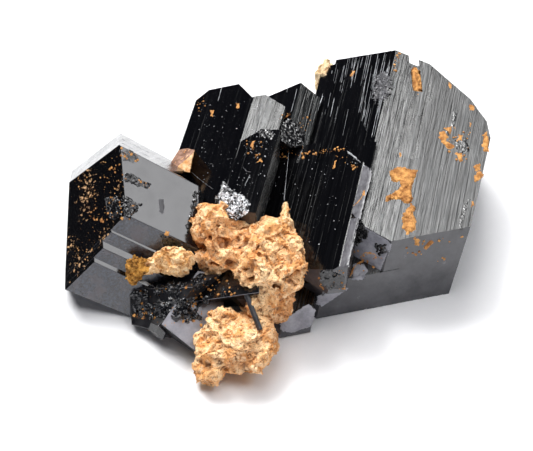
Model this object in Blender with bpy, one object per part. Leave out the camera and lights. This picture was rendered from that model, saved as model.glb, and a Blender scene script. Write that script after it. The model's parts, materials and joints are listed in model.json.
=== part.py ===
"""Cluster of black tourmaline prisms grown together, with lumps of tan rock between them.

Six near-parallel prisms lie on their side with their pointed ends to the front (-Y). One stout
crystal leans back at the left and shows its three-sided point. Millimetres are turned to metres.
"""
import bpy
import bmesh
import math
from mathutils import Matrix, Vector, noise

MM = 0.001
FIT_GAP = 0.3 * MM
BLANK = 120.0 * MM
WELD = 0.002 * MM

# The lying prisms share one long axis, turned a little from the depth axis.
LIE_TURN = math.radians(-12.5)
POINT_TILT = math.radians(27.5)
FRONT = Vector((math.sin(LIE_TURN), -math.cos(LIE_TURN), 0.0))
BACK = -FRONT
RIGHT = Vector((BACK.y, -BACK.x, 0.0))
UP = Vector((0.0, 0.0, 1.0))

# Tops of the lying prisms above the ground, and the lean of their upper left faces.
LARGE_TOP = 12.3
SHELF_TOP = 12.5
PLATE_TOP = 9.8
MIDDLE_TOP = 8.6
FRONT_TOP = 12.9
LEFT_LEAN = 30.0

# The stout crystal: its axis, its point, and how far its long faces stand from the point.
STOUT_TURN = math.radians(-6.4)
STOUT_RISE = math.radians(48.6)
STOUT_ROLL = 10.0
STOUT_POINT = Vector((-19.7, -3.2, 14.5))
STOUT_LENGTH = 24.0
# Chip off the rim of the stout crystal: where it starts on the edge, and how far it leans back.
STOUT_NOTCH = Vector((-13.74, 4.19, 15.7))
STOUT_NOTCH_TURN = 20.0
# Each growth step of the stout crystal: depth under one end face, height over the next, in mm.
STOUT_STEPS = ((0.0, 0.0), (2.4, 0.25), (3.8, 0.95), (5.3, 1.4))
# Each deeper step is also slimmer all round by this much, in mm.
STOUT_SLIM = 0.1

# Lumps of rock: each is several balls run together, given as a name, a middle and radii in mm, a
# noise seed, a roughness, how finely it is cut, and its pitch.
LUMPS = {
    "matrix_centre": ("feldspar", [
        ("lump_a", (0.8, -7.6, 9.4), (5.2, 6.6, 5.2), 1, 0.26, 4, 10.0),
        ("lump_b", (-7.4, -3.8, 10.3), (3.2, 4.2, 3.5), 2, 0.26),
        ("lump_n", (-6.6, -6.6, 9.0), (3.2, 2.6, 2.6), 14, 0.26),
        ("lump_o", (2.6, -0.8, 9.0), (0.9, 2.2, 1.6), 15, 0.2),
        ("lump_c", (1.2, -12.6, 5.4), (3.2, 2.8, 3.6), 3, 0.28),
        ("lump_d", (-1.0, -2.6, 10.2), (4.6, 2.4, 2.2), 4, 0.28),
    ]),
    "matrix_low": ("feldspar", [
        ("lump_e", (-4.1, -17.3, 4.0), (6.0, 4.9, 4.0), 5, 0.2, 4),
        ("lump_f", (-8.0, -21.2, 2.3), (2.2, 2.8, 2.5), 6, 0.22),
        ("lump_k", (-5.8, -14.6, 5.4), (3.2, 2.4, 2.5), 11, 0.24),
    ]),
    "ochre_crust": ("ochre", [
        ("lump_g", (-13.0, -7.3, 9.4), (3.1, 1.5, 2.5), 7, 0.2, 3, -27.0),
        ("lump_h", (-16.4, -7.6, 8.6), (2.4, 1.3, 1.3), 8, 0.2, 3, -27.0),
        ("lump_l", (-18.8, -8.1, 8.0), (1.3, 1.2, 2.3), 12, 0.2, 3, -27.0),
    ]),
    "orange_block": ("ochre", [
        ("lump_i", (-12.4, 11.6, 7.4), (1.9, 2.9, 2.3), 9, 0.2),
    ]),
    "cream_grains": ("cream", [
        ("lump_j", (9.7, 34.2, 3.4), (1.7, 2.6, 2.8), 10, 0.24),
    ]),
}
SLOT_LUMP = ("lump_m", (23.0, 24.6, 11.2), (1.8, 4.2, 1.2), 13, 0.2, 4)
LUMP_GAP = 0.45

COLOURS = {
    "schorl": ((0.012, 0.012, 0.015, 1.0), 0.12),
    "feldspar": ((0.68, 0.40, 0.19, 1.0), 0.85),
    "ochre": ((0.55, 0.36, 0.12, 1.0), 0.9),
    "cream": ((0.78, 0.68, 0.48, 1.0), 0.7),
}


def clear_scene():
    for old in list(bpy.data.objects):
        bpy.data.objects.remove(old, do_unlink=True)


def new_collection(name):
    made = bpy.data.collections.new(name)
    bpy.context.scene.collection.children.link(made)
    return made


def new_material(name):
    colour, rough = COLOURS[name]
    made = bpy.data.materials.new(name)
    made.use_nodes = True
    shader = made.node_tree.nodes["Principled BSDF"]
    shader.inputs["Base Color"].default_value = colour
    shader.inputs["Roughness"].default_value = rough
    shader.inputs["Metallic"].default_value = 0.0
    return made


def spot(along, across, height):
    """Point at a depth along the lying prisms, a distance to the right, and a height, all in mm."""
    return (BACK * along + RIGHT * across + UP * height) * MM


def side(lean, across, height):
    """Long face of a lying prism: its normal leans this many degrees to the left of straight up."""
    turn = math.radians(lean)
    normal = UP * math.cos(turn) - RIGHT * math.sin(turn)
    return normal, spot(0.0, across, height)


def point_face(azimuth, along, across, height, tilt=POINT_TILT):
    """Face of the pointed end: it stands this far round from up, to the left, through one point."""
    turn = math.radians(azimuth)
    out = UP * math.cos(turn) - RIGHT * math.sin(turn)
    return out * math.sin(tilt) + FRONT * math.cos(tilt), spot(along, across, height)


def end_face(swing, along, across, rise=0.0, height=0.0):
    """Broken back end: an upright face that swings to the right, through one point."""
    turn = math.radians(swing)
    lift = math.radians(rise)
    level = BACK * math.cos(turn) + RIGHT * math.sin(turn)
    return level * math.cos(lift) + UP * math.sin(lift), spot(along, across, height)


def ground(height=0.0):
    return -UP, UP * height * MM


def facet_body(name, faces, grow=0.0):
    """Solid bounded by flat faces, each a normal and a point on it; grow moves them all outward."""
    shape = bmesh.new()
    bmesh.ops.create_cube(shape, size=BLANK)
    for normal, through in faces:
        kept = normal.normalized()
        geometry = list(shape.verts) + list(shape.edges) + list(shape.faces)
        cut = bmesh.ops.bisect_plane(
            shape, geom=geometry, dist=1e-7, plane_co=through + kept * grow, plane_no=kept,
            clear_outer=True,
        )
        rim = [item for item in cut["geom_cut"] if isinstance(item, bmesh.types.BMEdge)]
        if rim:
            bmesh.ops.contextual_create(shape, geom=rim)
    bmesh.ops.remove_doubles(shape, verts=shape.verts, dist=1e-6)
    bmesh.ops.recalc_face_normals(shape, faces=shape.faces)
    mesh = bpy.data.meshes.new(name)
    shape.to_mesh(mesh)
    shape.free()
    return bpy.data.objects.new(name, mesh)


def large_prism():
    return [
        side(0.0, 0.0, LARGE_TOP),
        side(LEFT_LEAN, 12.9, LARGE_TOP),
        side(90.0, 3.4, 6.0),
        side(150.0, 7.0, 0.0),
        end_face(92.3, 2.5, 28.9, -6.0, LARGE_TOP),
        point_face(-66.0, -2.2, 18.4, LARGE_TOP),
        point_face(54.0, -2.2, 18.4, LARGE_TOP),
        end_face(7.2, 34.95, 12.9),
        end_face(18.0, 34.9, 12.9),
        end_face(40.0, 33.1, 18.5),
        end_face(53.0, 27.3, 25.5),
        end_face(73.0, 23.2, 28.6),
        ground(),
    ]


def large_step():
    return [
        side(13.0, 3.4, 6.6),
        side(LEFT_LEAN, 3.4, 6.2),
        side(90.0, 1.4, 4.0),
        side(-90.0, 5.0, 4.0),
        end_face(0.0, 35.6, 2.0),
        (FRONT, spot(12.0, 0.0, 0.0)),
        ground(1.0),
    ]


def shelf_prism():
    return [
        side(0.0, 0.0, SHELF_TOP),
        side(LEFT_LEAN, 12.0, SHELF_TOP),
        side(60.0, 4.1, 7.9),
        side(90.0, 2.4, 5.0),
        side(-90.0, 13.3, SHELF_TOP),
        side(176.0, 12.0, 7.6),
        point_face(-66.0, -8.6, 11.6, 12.1),
        point_face(54.0, -8.3, 9.7, 11.2),
        end_face(43.0, 14.0, 8.9),
        end_face(-8.0, 14.3, 8.7),
    ]


def shelf_root():
    """Lower half of the shelf prism, which ends at the large prism's pointed end."""
    return [
        side(60.0, 4.1, 7.9),
        side(90.0, 2.4, 5.0),
        side(-90.0, 13.3, 4.0),
        side(0.0, 0.0, 8.4),
        point_face(-66.0, -2.0, 18.4, LARGE_TOP),
        point_face(54.0, -4.4, 9.7, 8.0),
        end_face(-8.0, 14.3, 8.7),
        ground(0.47),
    ]


def front_steps():
    middle = [
        side(0.0, 0.0, 6.8),
        side(30.0, 10.4, 6.8),
        side(-90.0, 20.0, 4.0),
        point_face(-66.0, -2.27, 18.4, LARGE_TOP),
        point_face(54.0, -7.4, 9.6, 6.0),
        (BACK, spot(6.0, 0.0, 0.0)),
        ground(0.12),
    ]
    lower = [
        side(0.0, 0.0, 4.2),
        side(60.0, 4.6, 3.4),
        side(-90.0, 9.0, 4.0),
        point_face(-66.0, -12.6, 5.6, 3.4),
        point_face(54.0, -12.8, 5.2, 3.2),
        (BACK, spot(4.0, 0.0, 0.0)),
        ground(0.22),
    ]
    return middle, lower


def left_prism():
    return [
        side(0.0, 0.0, PLATE_TOP),
        side(LEFT_LEAN, -7.0, PLATE_TOP),
        side(90.0, -17.1, 4.0),
        side(-90.0, -3.0, 6.0),
        side(150.0, -13.4, 0.6),
        (FRONT, spot(-6.0, 0.0, 0.0)),
        point_face(54.0, -3.0, -9.0, 8.0),
        end_face(-45.0, 26.2, -16.2),
        end_face(4.0, 26.8, -12.0),
        end_face(52.0, 24.2, -8.4),
        ground(0.6),
    ]


def plate_prism():
    return [
        side(0.0, 0.0, PLATE_TOP + 0.1),
        side(LEFT_LEAN, -7.0, PLATE_TOP + 0.1),
        side(-90.0, -1.9, 6.0),
        side(90.0, -8.0, 4.0),
        (FRONT, spot(11.0, 0.0, 0.0)),
        end_face(-24.0, 23.1, -6.2),
        end_face(27.0, 23.5, -5.4),
        ground(1.13),
    ]


def front_prism():
    return [
        side(22.0, -1.9, FRONT_TOP - 0.3),
        side(LEFT_LEAN, -6.9, PLATE_TOP),
        side(90.0, -9.0, 8.0),
        side(-90.0, -1.1, 10.8),
        (FRONT, spot(-7.0, 0.0, 0.0)),
        point_face(54.0, -2.0, -3.0, 10.0),
        end_face(-30.0, 14.2, -5.2),
        end_face(4.0, 14.5, -3.0),
        ground(0.83),
    ]


def middle_prism():
    return [
        side(LEFT_LEAN, -0.7, MIDDLE_TOP),
        side(-26.0, -0.7, MIDDLE_TOP),
        side(90.0, -7.0, 4.0),
        side(-90.0, 2.6, 4.0),
        (FRONT, spot(16.6, 0.0, 0.0)),
        end_face(-16.0, 28.4, -1.0),
        end_face(18.0, 28.4, -1.0),
        ground(0.71),
    ]


def filler_prism():
    return [
        side(24.0, 2.4, 7.4),
        side(LEFT_LEAN, 1.0, 6.8),
        side(90.0, -3.0, 4.0),
        side(-90.0, 4.6, 4.0),
        (FRONT, spot(-7.0, 0.0, 0.0)),
        end_face(0.0, 17.0, 2.0),
        ground(0.93),
    ]


def stout_axes():
    """Long axis of the stout crystal, and the two directions across it that its faces turn about."""
    axis = Vector((
        math.sin(STOUT_TURN) * math.cos(STOUT_RISE),
        -math.cos(STOUT_TURN) * math.cos(STOUT_RISE),
        math.sin(STOUT_RISE),
    ))
    high = (UP - axis * UP.dot(axis)).normalized()
    return axis, high, axis.cross(high)


def stout_face(azimuth, tilt, stand):
    """Face of the stout crystal: turned about its axis, tilted off it, standing off its point."""
    axis, high, left = stout_axes()
    turn = math.radians(azimuth + STOUT_ROLL)
    lean = math.radians(tilt)
    out = high * math.cos(turn) + left * math.sin(turn)
    normal = out * math.sin(lean) + axis * math.cos(lean)
    return normal, (STOUT_POINT + normal * stand) * MM


def stout_prism(inset=0.0, rise=0.0, slim=0.0):
    """Stout crystal; each step sits deeper under the upper right face and stands out at the front."""
    axis = stout_axes()[0]
    return [
        stout_face(65.7, 31.8, -slim),
        stout_face(-59.7, 30.2, -inset),
        stout_face(181.3, 26.5, rise),
        stout_face(33.5, 78.4, 7.8 - slim),
        stout_face(82.2, 79.9, 8.3 - slim),
        stout_face(150.6, 90.0, 13.9 - slim),
        stout_face(210.0, 90.0, 12.6 - slim),
        stout_face(267.2, 90.0, 9.7 - slim),
        stout_face(325.9, 87.6, 7.8 - slim),
        (-axis, (STOUT_POINT - axis * (STOUT_LENGTH - slim)) * MM),
        (Vector((0.10, 0.86, -0.5)), Vector((-19.0, 14.9 - 2.0 * slim, 9.0)) * MM),
        ground(slim),
    ]


def small_crystal(turn, rise, roll, point, width, length, tilt=27.5):
    """Small six-sided prism with a three-sided point, given by its axis and its point, in mm."""
    turn = math.radians(turn)
    rise = math.radians(rise)
    axis = Vector((
        math.sin(turn) * math.cos(rise), -math.cos(turn) * math.cos(rise), math.sin(rise),
    ))
    high = (UP - axis * UP.dot(axis)).normalized()
    left = axis.cross(high)
    tip = Vector(point)
    faces = []
    for index in range(6):
        angle = math.radians(roll + 60.0 * index)
        out = high * math.cos(angle) + left * math.sin(angle)
        faces.append((out, (tip + out * width * 0.5) * MM))
    for index in range(3):
        angle = math.radians(roll + 30.0 + 120.0 * index)
        out = high * math.cos(angle) + left * math.sin(angle)
        lean = math.radians(tilt)
        faces.append((out * math.sin(lean) + axis * math.cos(lean), tip * MM))
    faces.append((-axis, (tip - axis * length) * MM))
    faces.append(ground(0.2))
    return faces


def wedge_crystal():
    """Small tilted crystal low at the front left, with one broad end face turned up."""
    return [
        (Vector((0.25, -0.45, 0.86)), Vector((-11.5, -16.2, 4.1)) * MM),
        (Vector((-0.6, -0.75, -0.3)), Vector((-12.3, -16.7, 3.5)) * MM),
        (Vector((-0.8, 0.5, 0.1)), Vector((-14.6, -15.0, 4.0)) * MM),
        (Vector((1.0, 0.0, 0.0)), Vector((-6.0, -16.0, 3.0)) * MM),
        (Vector((0.0, 1.0, 0.0)), Vector((-10.0, -8.0, 3.0)) * MM),
        ground(0.76),
    ]


def dull_crystal():
    """Low crystal under the stout one: its broad face looks to the front left."""
    return [
        (Vector((-0.5, -0.5, 0.71)), Vector((-14.4, -11.3, 5.9)) * MM),
        (Vector((-0.25, 0.5, 0.83)), Vector((-14.0, -10.2, 6.8)) * MM),
        (Vector((-0.35, -0.85, -0.3)), Vector((-16.8, -14.2, 2.5)) * MM),
        (Vector((-0.95, -0.15, 0.1)), Vector((-19.2, -11.6, 4.0)) * MM),
        (Vector((0.6, -0.8, 0.1)), Vector((-13.8, -14.6, 4.5)) * MM),
        (Vector((1.0, 0.0, 0.0)), Vector((-6.4, -12.0, 3.0)) * MM),
        (Vector((0.0, 1.0, 0.0)), Vector((-10.0, -5.0, 3.0)) * MM),
        ground(1.03),
    ]


def glossy_crystal():
    """Low crystal left of the middle lump of rock, with a bright front edge."""
    return [
        (Vector((-0.42, 0.05, 0.9)), Vector((-8.2, -10.9, 6.9)) * MM),
        (Vector((0.05, -0.9, -0.42)), Vector((-9.0, -12.2, 6.4)) * MM),
        (Vector((-0.95, -0.2, 0.2)), Vector((-12.2, -11.6, 5.4)) * MM),
        (Vector((1.0, 0.0, 0.0)), Vector((-1.0, -12.0, 3.0)) * MM),
        (Vector((0.0, 1.0, 0.0)), Vector((-10.0, -4.0, 3.0)) * MM),
        ground(1.24),
    ]


def stout_notch():
    """Chip off the upper right edge of the stout crystal, right of its broad rim."""
    end_normal = stout_face(-59.7, 30.2, 0.0)[0]
    rim_normal = stout_face(325.9, 87.6, 0.0)[0]
    edge = end_normal.cross(rim_normal).normalized()
    turned = Matrix.Rotation(math.radians(STOUT_NOTCH_TURN), 3, edge) @ rim_normal
    return [
        (-turned, STOUT_NOTCH * MM),
        (Vector((-0.98, 0.0, -0.2)), STOUT_NOTCH * MM),
    ]


def crystal_table():
    """Every black crystal as a name and its bounding faces."""
    middle_step, lower_step = front_steps()
    return [
        ("large", large_prism()),
        ("large_step", large_step()),
        ("shelf", shelf_prism()),
        ("front_step_a", middle_step),
        ("front_step_b", lower_step),
        ("left", left_prism()),
        ("front", front_prism()),
        ("middle", middle_prism()),
        ("filler", filler_prism()),
        ("shelf_root", shelf_root()),
        ("plate", plate_prism()),
        ("small_grey", wedge_crystal()),
        ("small_dull", dull_crystal()),
        ("small_glossy", glossy_crystal()),
        ("small_blue", small_crystal(-35.0, 8.0, 20.0, (-15.7, -15.3, 3.0), 2.6, 9.0, 16.0)),
        ("stick", small_crystal(51.0, -32.0, 12.0, (0.1, -14.9, 2.9), 1.3, 11.0)),
    ] + [
        ("stout_%d" % index, stout_prism(inset, rise, STOUT_SLIM * index))
        for index, (inset, rise) in enumerate(STOUT_STEPS)
    ]


def apply_boolean(target, cutter, kind):
    step = target.modifiers.new(kind, "BOOLEAN")
    step.operation = kind
    step.solver = "EXACT"
    step.object = cutter
    bpy.context.view_layer.update()
    shown = target.evaluated_get(bpy.context.evaluated_depsgraph_get())
    result = bpy.data.meshes.new_from_object(shown)
    target.modifiers.clear()
    target.data = result


def weld(target):
    """Close up the hair-thin edges that are left where two flat faces meet on one level."""
    shape = bmesh.new()
    shape.from_mesh(target.data)
    bmesh.ops.remove_doubles(shape, verts=shape.verts, dist=WELD)
    bmesh.ops.dissolve_degenerate(shape, edges=shape.edges, dist=WELD)
    shape.to_mesh(target.data)
    shape.free()


def apply_cut(target, cutter, cutters):
    """Cut one shape out of a solid and leave the cutter as a hidden guide."""
    if cutter.name not in cutters.objects:
        cutters.objects.link(cutter)
    cutter.hide_render = True
    cutter.display_type = "WIRE"
    linked = bool(target.users_collection)
    if not linked:
        cutters.objects.link(target)
    apply_boolean(target, cutter, "DIFFERENCE")
    weld(target)
    if not linked:
        cutters.objects.unlink(target)


def merge_bodies(name, bodies, holder, cutters, kind="UNION"):
    """Join solids one after another into the first."""
    first = bodies[0]
    first.name = name
    holder.objects.link(first)
    for other in bodies[1:]:
        cutters.objects.link(other)
        other.hide_render = True
        other.display_type = "WIRE"
        apply_boolean(first, other, kind)
        weld(first)
    return first


def slot_faces():
    """Narrow slot in the top of the large prism, open at its back end."""
    return [
        (-UP, spot(0.0, 0.0, LARGE_TOP - 1.5)),
        (UP, spot(0.0, 0.0, LARGE_TOP + 2.0)),
        end_face(0.0, 40.0, 16.0),
        (FRONT, spot(27.0, 0.0, 0.0)),
        end_face(76.0, 30.0, 17.6),
        end_face(256.0, 30.0, 16.1),
    ]


def rough_lump(name, centre, radii, seed, rough, detail=3, pitch=0.0, grow=0.0):
    """Ball pushed in and out by smooth noise and stretched; centre and radii in mm."""
    ball = bmesh.new()
    bmesh.ops.create_icosphere(ball, subdivisions=detail, radius=1.0)
    for vert in ball.verts:
        out = vert.co.normalized()
        place = out * 1.6 + Vector((seed * 3.1, seed * 1.7, seed * 0.9))
        wave = noise.noise(place) + 0.5 * noise.noise(place * 2.3) + 0.28 * noise.noise(place * 5.1)
        vert.co = out * (1.0 + rough * wave)
    turn = Matrix.Rotation(math.radians(pitch), 4, "X")
    stretch = Matrix.Diagonal((radii[0] + grow, radii[1] + grow, radii[2] + grow, 1.0))
    ball.transform(Matrix.Scale(MM, 4) @ Matrix.Translation(Vector(centre)) @ turn @ stretch)
    mesh = bpy.data.meshes.new(name)
    ball.to_mesh(mesh)
    ball.free()
    return bpy.data.objects.new(name, mesh)


def keep_largest(target):
    """Drop the crumbs that a cut leaves beside the main body."""
    shape = bmesh.new()
    shape.from_mesh(target.data)
    shape.faces.ensure_lookup_table()
    left = set(shape.faces)
    groups = []
    while left:
        stack = [left.pop()]
        group = list(stack)
        while stack:
            face = stack.pop()
            for edge in face.edges:
                for other in edge.link_faces:
                    if other in left:
                        left.remove(other)
                        group.append(other)
                        stack.append(other)
        groups.append(group)
    groups.sort(key=lambda group: -sum(face.calc_area() for face in group))
    for group in groups[1:]:
        bmesh.ops.delete(shape, geom=group, context="FACES")
    loose = [vert for vert in shape.verts if not vert.link_faces]
    bmesh.ops.delete(shape, geom=loose, context="VERTS")
    shape.to_mesh(target.data)
    shape.free()


def fit_lump(target, faces_list, cutters, floor=0.0):
    """Cut a lump back from every crystal it touches, with the fit gap, and level its foot."""
    for label, faces in faces_list:
        apply_cut(target, facet_body("cut_" + target.name + "_" + label, faces, FIT_GAP), cutters)
    shape = bmesh.new()
    shape.from_mesh(target.data)
    geometry = list(shape.verts) + list(shape.edges) + list(shape.faces)
    cut = bmesh.ops.bisect_plane(
        shape, geom=geometry, dist=1e-7, plane_co=UP * floor * MM, plane_no=-UP, clear_outer=True,
    )
    rim = [item for item in cut["geom_cut"] if isinstance(item, bmesh.types.BMEdge)]
    if rim:
        bmesh.ops.holes_fill(shape, edges=rim, sides=0)
    bmesh.ops.triangulate(shape, faces=shape.faces)
    shape.to_mesh(target.data)
    shape.free()
    keep_largest(target)


def build():
    clear_scene()
    holder = new_collection("black_tourmaline_cluster")
    cutters = new_collection("cutters")
    materials = {name: new_material(name) for name in COLOURS}
    table = crystal_table()

    bodies = [facet_body(label, faces) for label, faces in table]
    notch = facet_body("notch", stout_notch())
    for body in bodies:
        if body.name.startswith("stout"):
            apply_cut(body, notch, cutters)
    schorl = merge_bodies("schorl_crystals", bodies, holder, cutters)

    finished = {"schorl_crystals": ("schorl", schorl)}
    for name, (colour, parts) in LUMPS.items():
        body = merge_bodies(name, [rough_lump(*lump) for lump in parts], holder, cutters)
        fit_lump(body, table, cutters)
        if name == "matrix_low":
            for lump in LUMPS["matrix_centre"][1]:
                apply_cut(body, rough_lump(*lump, grow=LUMP_GAP), cutters)
            keep_largest(body)
        finished[name] = (colour, body)
    apply_cut(schorl, facet_body("slot", slot_faces()), cutters)
    filling = facet_body("slot_filling", slot_faces(), -FIT_GAP)
    crust = rough_lump(*SLOT_LUMP)
    slot_body = merge_bodies("slot_filling", [filling, crust], holder, cutters, "INTERSECT")
    finished["slot_filling"] = ("ochre", slot_body)
    for slot, body in finished.values():
        body.data.materials.clear()
        body.data.materials.append(materials[slot])
    stand_on_origin([body for slot, body in finished.values()])


def stand_on_origin(bodies):
    """Move all the pieces together so that the middle of their underside is at the origin."""
    points = [vert.co for body in bodies for vert in body.data.vertices]
    low = Vector([min(point[axis] for point in points) for axis in range(3)])
    high = Vector([max(point[axis] for point in points) for axis in range(3)])
    middle = (low + high) * 0.5
    for body in bodies:
        body.location = Vector((-middle.x, -middle.y, -low.z))
    bpy.context.view_layer.update()


build()
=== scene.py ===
"""Looks of a black tourmaline cluster: striated prisms grown together, tan rock and orange stain.

Lengths are in millimetres from one point under the cluster, and are turned to the frame's metres
when an object is made. Spots on a face are given as photo pixels and dropped on that face.
"""
import json
import math
import random
import bmesh
import bpy
from mathutils import Matrix, Vector, noise
from mathutils.bvhtree import BVHTree

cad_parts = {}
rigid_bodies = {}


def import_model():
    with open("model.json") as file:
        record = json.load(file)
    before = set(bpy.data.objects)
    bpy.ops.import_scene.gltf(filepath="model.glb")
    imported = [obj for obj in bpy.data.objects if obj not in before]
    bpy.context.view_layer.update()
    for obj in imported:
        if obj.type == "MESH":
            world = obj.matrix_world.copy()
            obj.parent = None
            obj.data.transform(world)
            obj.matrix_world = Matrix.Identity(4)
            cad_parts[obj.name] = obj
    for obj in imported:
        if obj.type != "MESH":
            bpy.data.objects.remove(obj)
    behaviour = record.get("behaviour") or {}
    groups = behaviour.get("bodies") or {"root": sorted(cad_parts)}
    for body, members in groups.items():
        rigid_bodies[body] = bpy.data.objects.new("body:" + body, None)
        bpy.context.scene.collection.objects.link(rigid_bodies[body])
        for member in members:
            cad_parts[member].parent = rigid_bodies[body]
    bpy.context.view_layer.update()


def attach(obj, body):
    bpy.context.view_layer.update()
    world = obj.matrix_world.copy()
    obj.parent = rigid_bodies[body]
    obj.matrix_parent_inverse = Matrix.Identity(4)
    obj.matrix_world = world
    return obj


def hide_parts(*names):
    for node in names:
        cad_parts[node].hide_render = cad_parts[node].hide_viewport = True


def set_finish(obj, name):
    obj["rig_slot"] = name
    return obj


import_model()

# The large prism: black tourmaline that grew as one long crystal, now on its side. Its long faces
# carry fine lines of growth from end to end, its three-sided point is to the front, and its back
# end is broken across. Lower steps of the same crystal run along its left and its foot.
MM = 0.001
SHIFT = Vector((-1.5619, -6.583, 0.0))
LIE_TURN = math.radians(-12.5)
FRONT = Vector((math.sin(LIE_TURN), -math.cos(LIE_TURN), 0.0))
BACK = -FRONT
RIGHT = Vector((BACK.y, -BACK.x, 0.0))
UP = Vector((0.0, 0.0, 1.0))
LARGE_TOP = 12.3
EYE_RISE = math.radians(52.0)
EYE_AIM = Vector((0.0, 0.0, 8.0))
EYE_FAR = 214.6
PIXELS_LONG = 1480.0
PHOTO_WIDE = 533.0
PHOTO_MIDDLE = (266.5, 225.5)
EYE_UP = Vector((0.0, math.sin(EYE_RISE), math.cos(EYE_RISE)))
EYE_BACK = Vector((0.0, -math.cos(EYE_RISE), math.sin(EYE_RISE)))
EYE = EYE_AIM + EYE_BACK * EYE_FAR


def spot(along, across, height):
    """Point measured along the large prism towards its back end, to its right, and up."""
    return BACK * along + RIGHT * across + UP * height


def side(lean, across, height):
    """Long face of a lying prism: its normal leans this many degrees to the left of straight up."""
    turn = math.radians(lean)
    return UP * math.cos(turn) - RIGHT * math.sin(turn), spot(0.0, across, height)


def point_face(azimuth, along, across, height, tilt=27.5):
    """Face of the pointed end, standing this far round from up, to the left."""
    turn, lean = math.radians(azimuth), math.radians(tilt)
    out = UP * math.cos(turn) - RIGHT * math.sin(turn)
    return out * math.sin(lean) + FRONT * math.cos(lean), spot(along, across, height)


def end_face(swing, along, across, rise=0.0, height=0.0):
    """Broken back end: an upright face that swings to the right."""
    turn, lift = math.radians(swing), math.radians(rise)
    level = BACK * math.cos(turn) + RIGHT * math.sin(turn)
    return level * math.cos(lift) + UP * math.sin(lift), spot(along, across, height)


def ground(height=0.0):
    """Level underside of a piece."""
    return -UP, UP * height


def ray(x, y):
    """Line of sight through one pixel of the photo."""
    across, down = (x - PHOTO_MIDDLE[0]) / PIXELS_LONG, (y - PHOTO_MIDDLE[1]) / PIXELS_LONG
    return (Vector((1.0, 0.0, 0.0)) * across - EYE_UP * down - EYE_BACK).normalized()


def seen(x, y, face):
    """Point of a flat face that shows at one pixel of the photo."""
    normal, through = face
    look = ray(x, y)
    return EYE + look * ((through - EYE).dot(normal) / look.dot(normal))


def cross_section(sides):
    """Outline across a lying prism, cut out of a wide square by its long faces."""
    outline = [(-60.0, 0.0), (60.0, 0.0), (60.0, 60.0), (-60.0, 60.0)]
    for normal, through in sides:
        lean, lift = normal.dot(RIGHT), normal.z
        reach = lean * through.dot(RIGHT) + lift * through.z
        kept = []
        for index, here in enumerate(outline):
            last = outline[index - 1]
            before = lean * last[0] + lift * last[1] - reach
            after = lean * here[0] + lift * here[1] - reach
            if (before < 0.0) != (after < 0.0):
                part = before / (before - after)
                kept.append((last[0] + part * (here[0] - last[0]), last[1] + part * (here[1] - last[1])))
            if after < 0.0:
                kept.append(here)
        outline = kept
    return outline


def growth_lines(outline, pick, coarse, deep, wild):
    """Break each side of an outline into narrow strips, each let in and tilted a little."""
    points = []
    for start, stop in zip(outline, outline[1:] + outline[:1]):
        across, up = stop[0] - start[0], stop[1] - start[1]
        long = math.hypot(across, up)
        inner = (-up / long, across / long)
        at, strip = 0.0, 0
        while at < long - 0.05:
            wide = coarse * pick.choice((0.35, 0.5, 0.8, 1.2, 2.0, 3.6)) * pick.uniform(0.7, 1.3)
            end = long if at + wide > long - 0.12 else at + wide
            edge = at < 0.01 or end > long - 0.01
            sunk = 0.0 if edge else deep * pick.random() ** 1.6
            lean = wild if pick.random() < 0.3 else 0.07
            tilt = 0.0 if edge else pick.uniform(-lean, lean) * min(end - at, 0.4)
            for share, depth in ((0.0, sunk), (1.0, max(0.0, sunk + tilt))):
                place = at + (end - at) * share
                points.append((
                    start[0] + across * place / long, start[1] + up * place / long,
                    inner[0] * depth, inner[1] * depth, len(points) // 2 if share == 0.0 else strip,
                ))
                strip = len(points) // 2
            at = end
    return points


def close_cut(shape, face):
    """Cut a solid by a flat face and close it again; the new face is broken or grown flat."""
    normal, through = face
    geometry = list(shape.verts) + list(shape.edges) + list(shape.faces)
    cut = bmesh.ops.bisect_plane(
        shape, geom=geometry, dist=1e-5, plane_co=through, plane_no=normal, clear_outer=True,
    )
    rim = [item for item in cut["geom_cut"] if isinstance(item, bmesh.types.BMEdge)]
    if rim:
        bmesh.ops.holes_fill(shape, edges=rim, sides=0)


def lying_prism(faces, seed, coarse=0.32, deep=0.05, wild=0.3, along=(-24.0, 42.0)):
    """Prism drawn out along the long axis with lines of growth, then cut by its end faces."""
    pick = random.Random(seed)
    sides = [face for face in faces if abs(face[0].dot(BACK)) < 1e-4]
    ends = [face for face in faces if abs(face[0].dot(BACK)) >= 1e-4]
    profile = growth_lines(cross_section(sides), pick, coarse, deep, wild)
    shape = bmesh.new()
    rows, at = [], along[0]
    while at < along[1]:
        row = []
        for across, height, in_across, in_height, strip in profile:
            wave = noise.noise(Vector((strip * 3.7, at * 0.16, seed * 2.3)))
            keep = min(1.0, max(0.0, 0.55 + 1.9 * wave))
            row.append(shape.verts.new(spot(at, across + in_across * keep, height + in_height * keep)))
        rows.append(row)
        at += pick.uniform(0.7, 1.9)
    for near, far in zip(rows, rows[1:]):
        for index in range(len(near)):
            shape.faces.new((near[index - 1], near[index], far[index], far[index - 1]))
    shape.faces.new(reversed(rows[0]))
    shape.faces.new(rows[-1])
    for face in ends:
        close_cut(shape, face)
    bmesh.ops.recalc_face_normals(shape, faces=shape.faces)
    return shape


def joined(shapes):
    """Several solids in one mesh."""
    whole = bmesh.new()
    for shape in shapes:
        mesh = bpy.data.meshes.new("part")
        shape.to_mesh(mesh)
        whole.from_mesh(mesh)
        bpy.data.meshes.remove(mesh)
        shape.free()
    return whole


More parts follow.
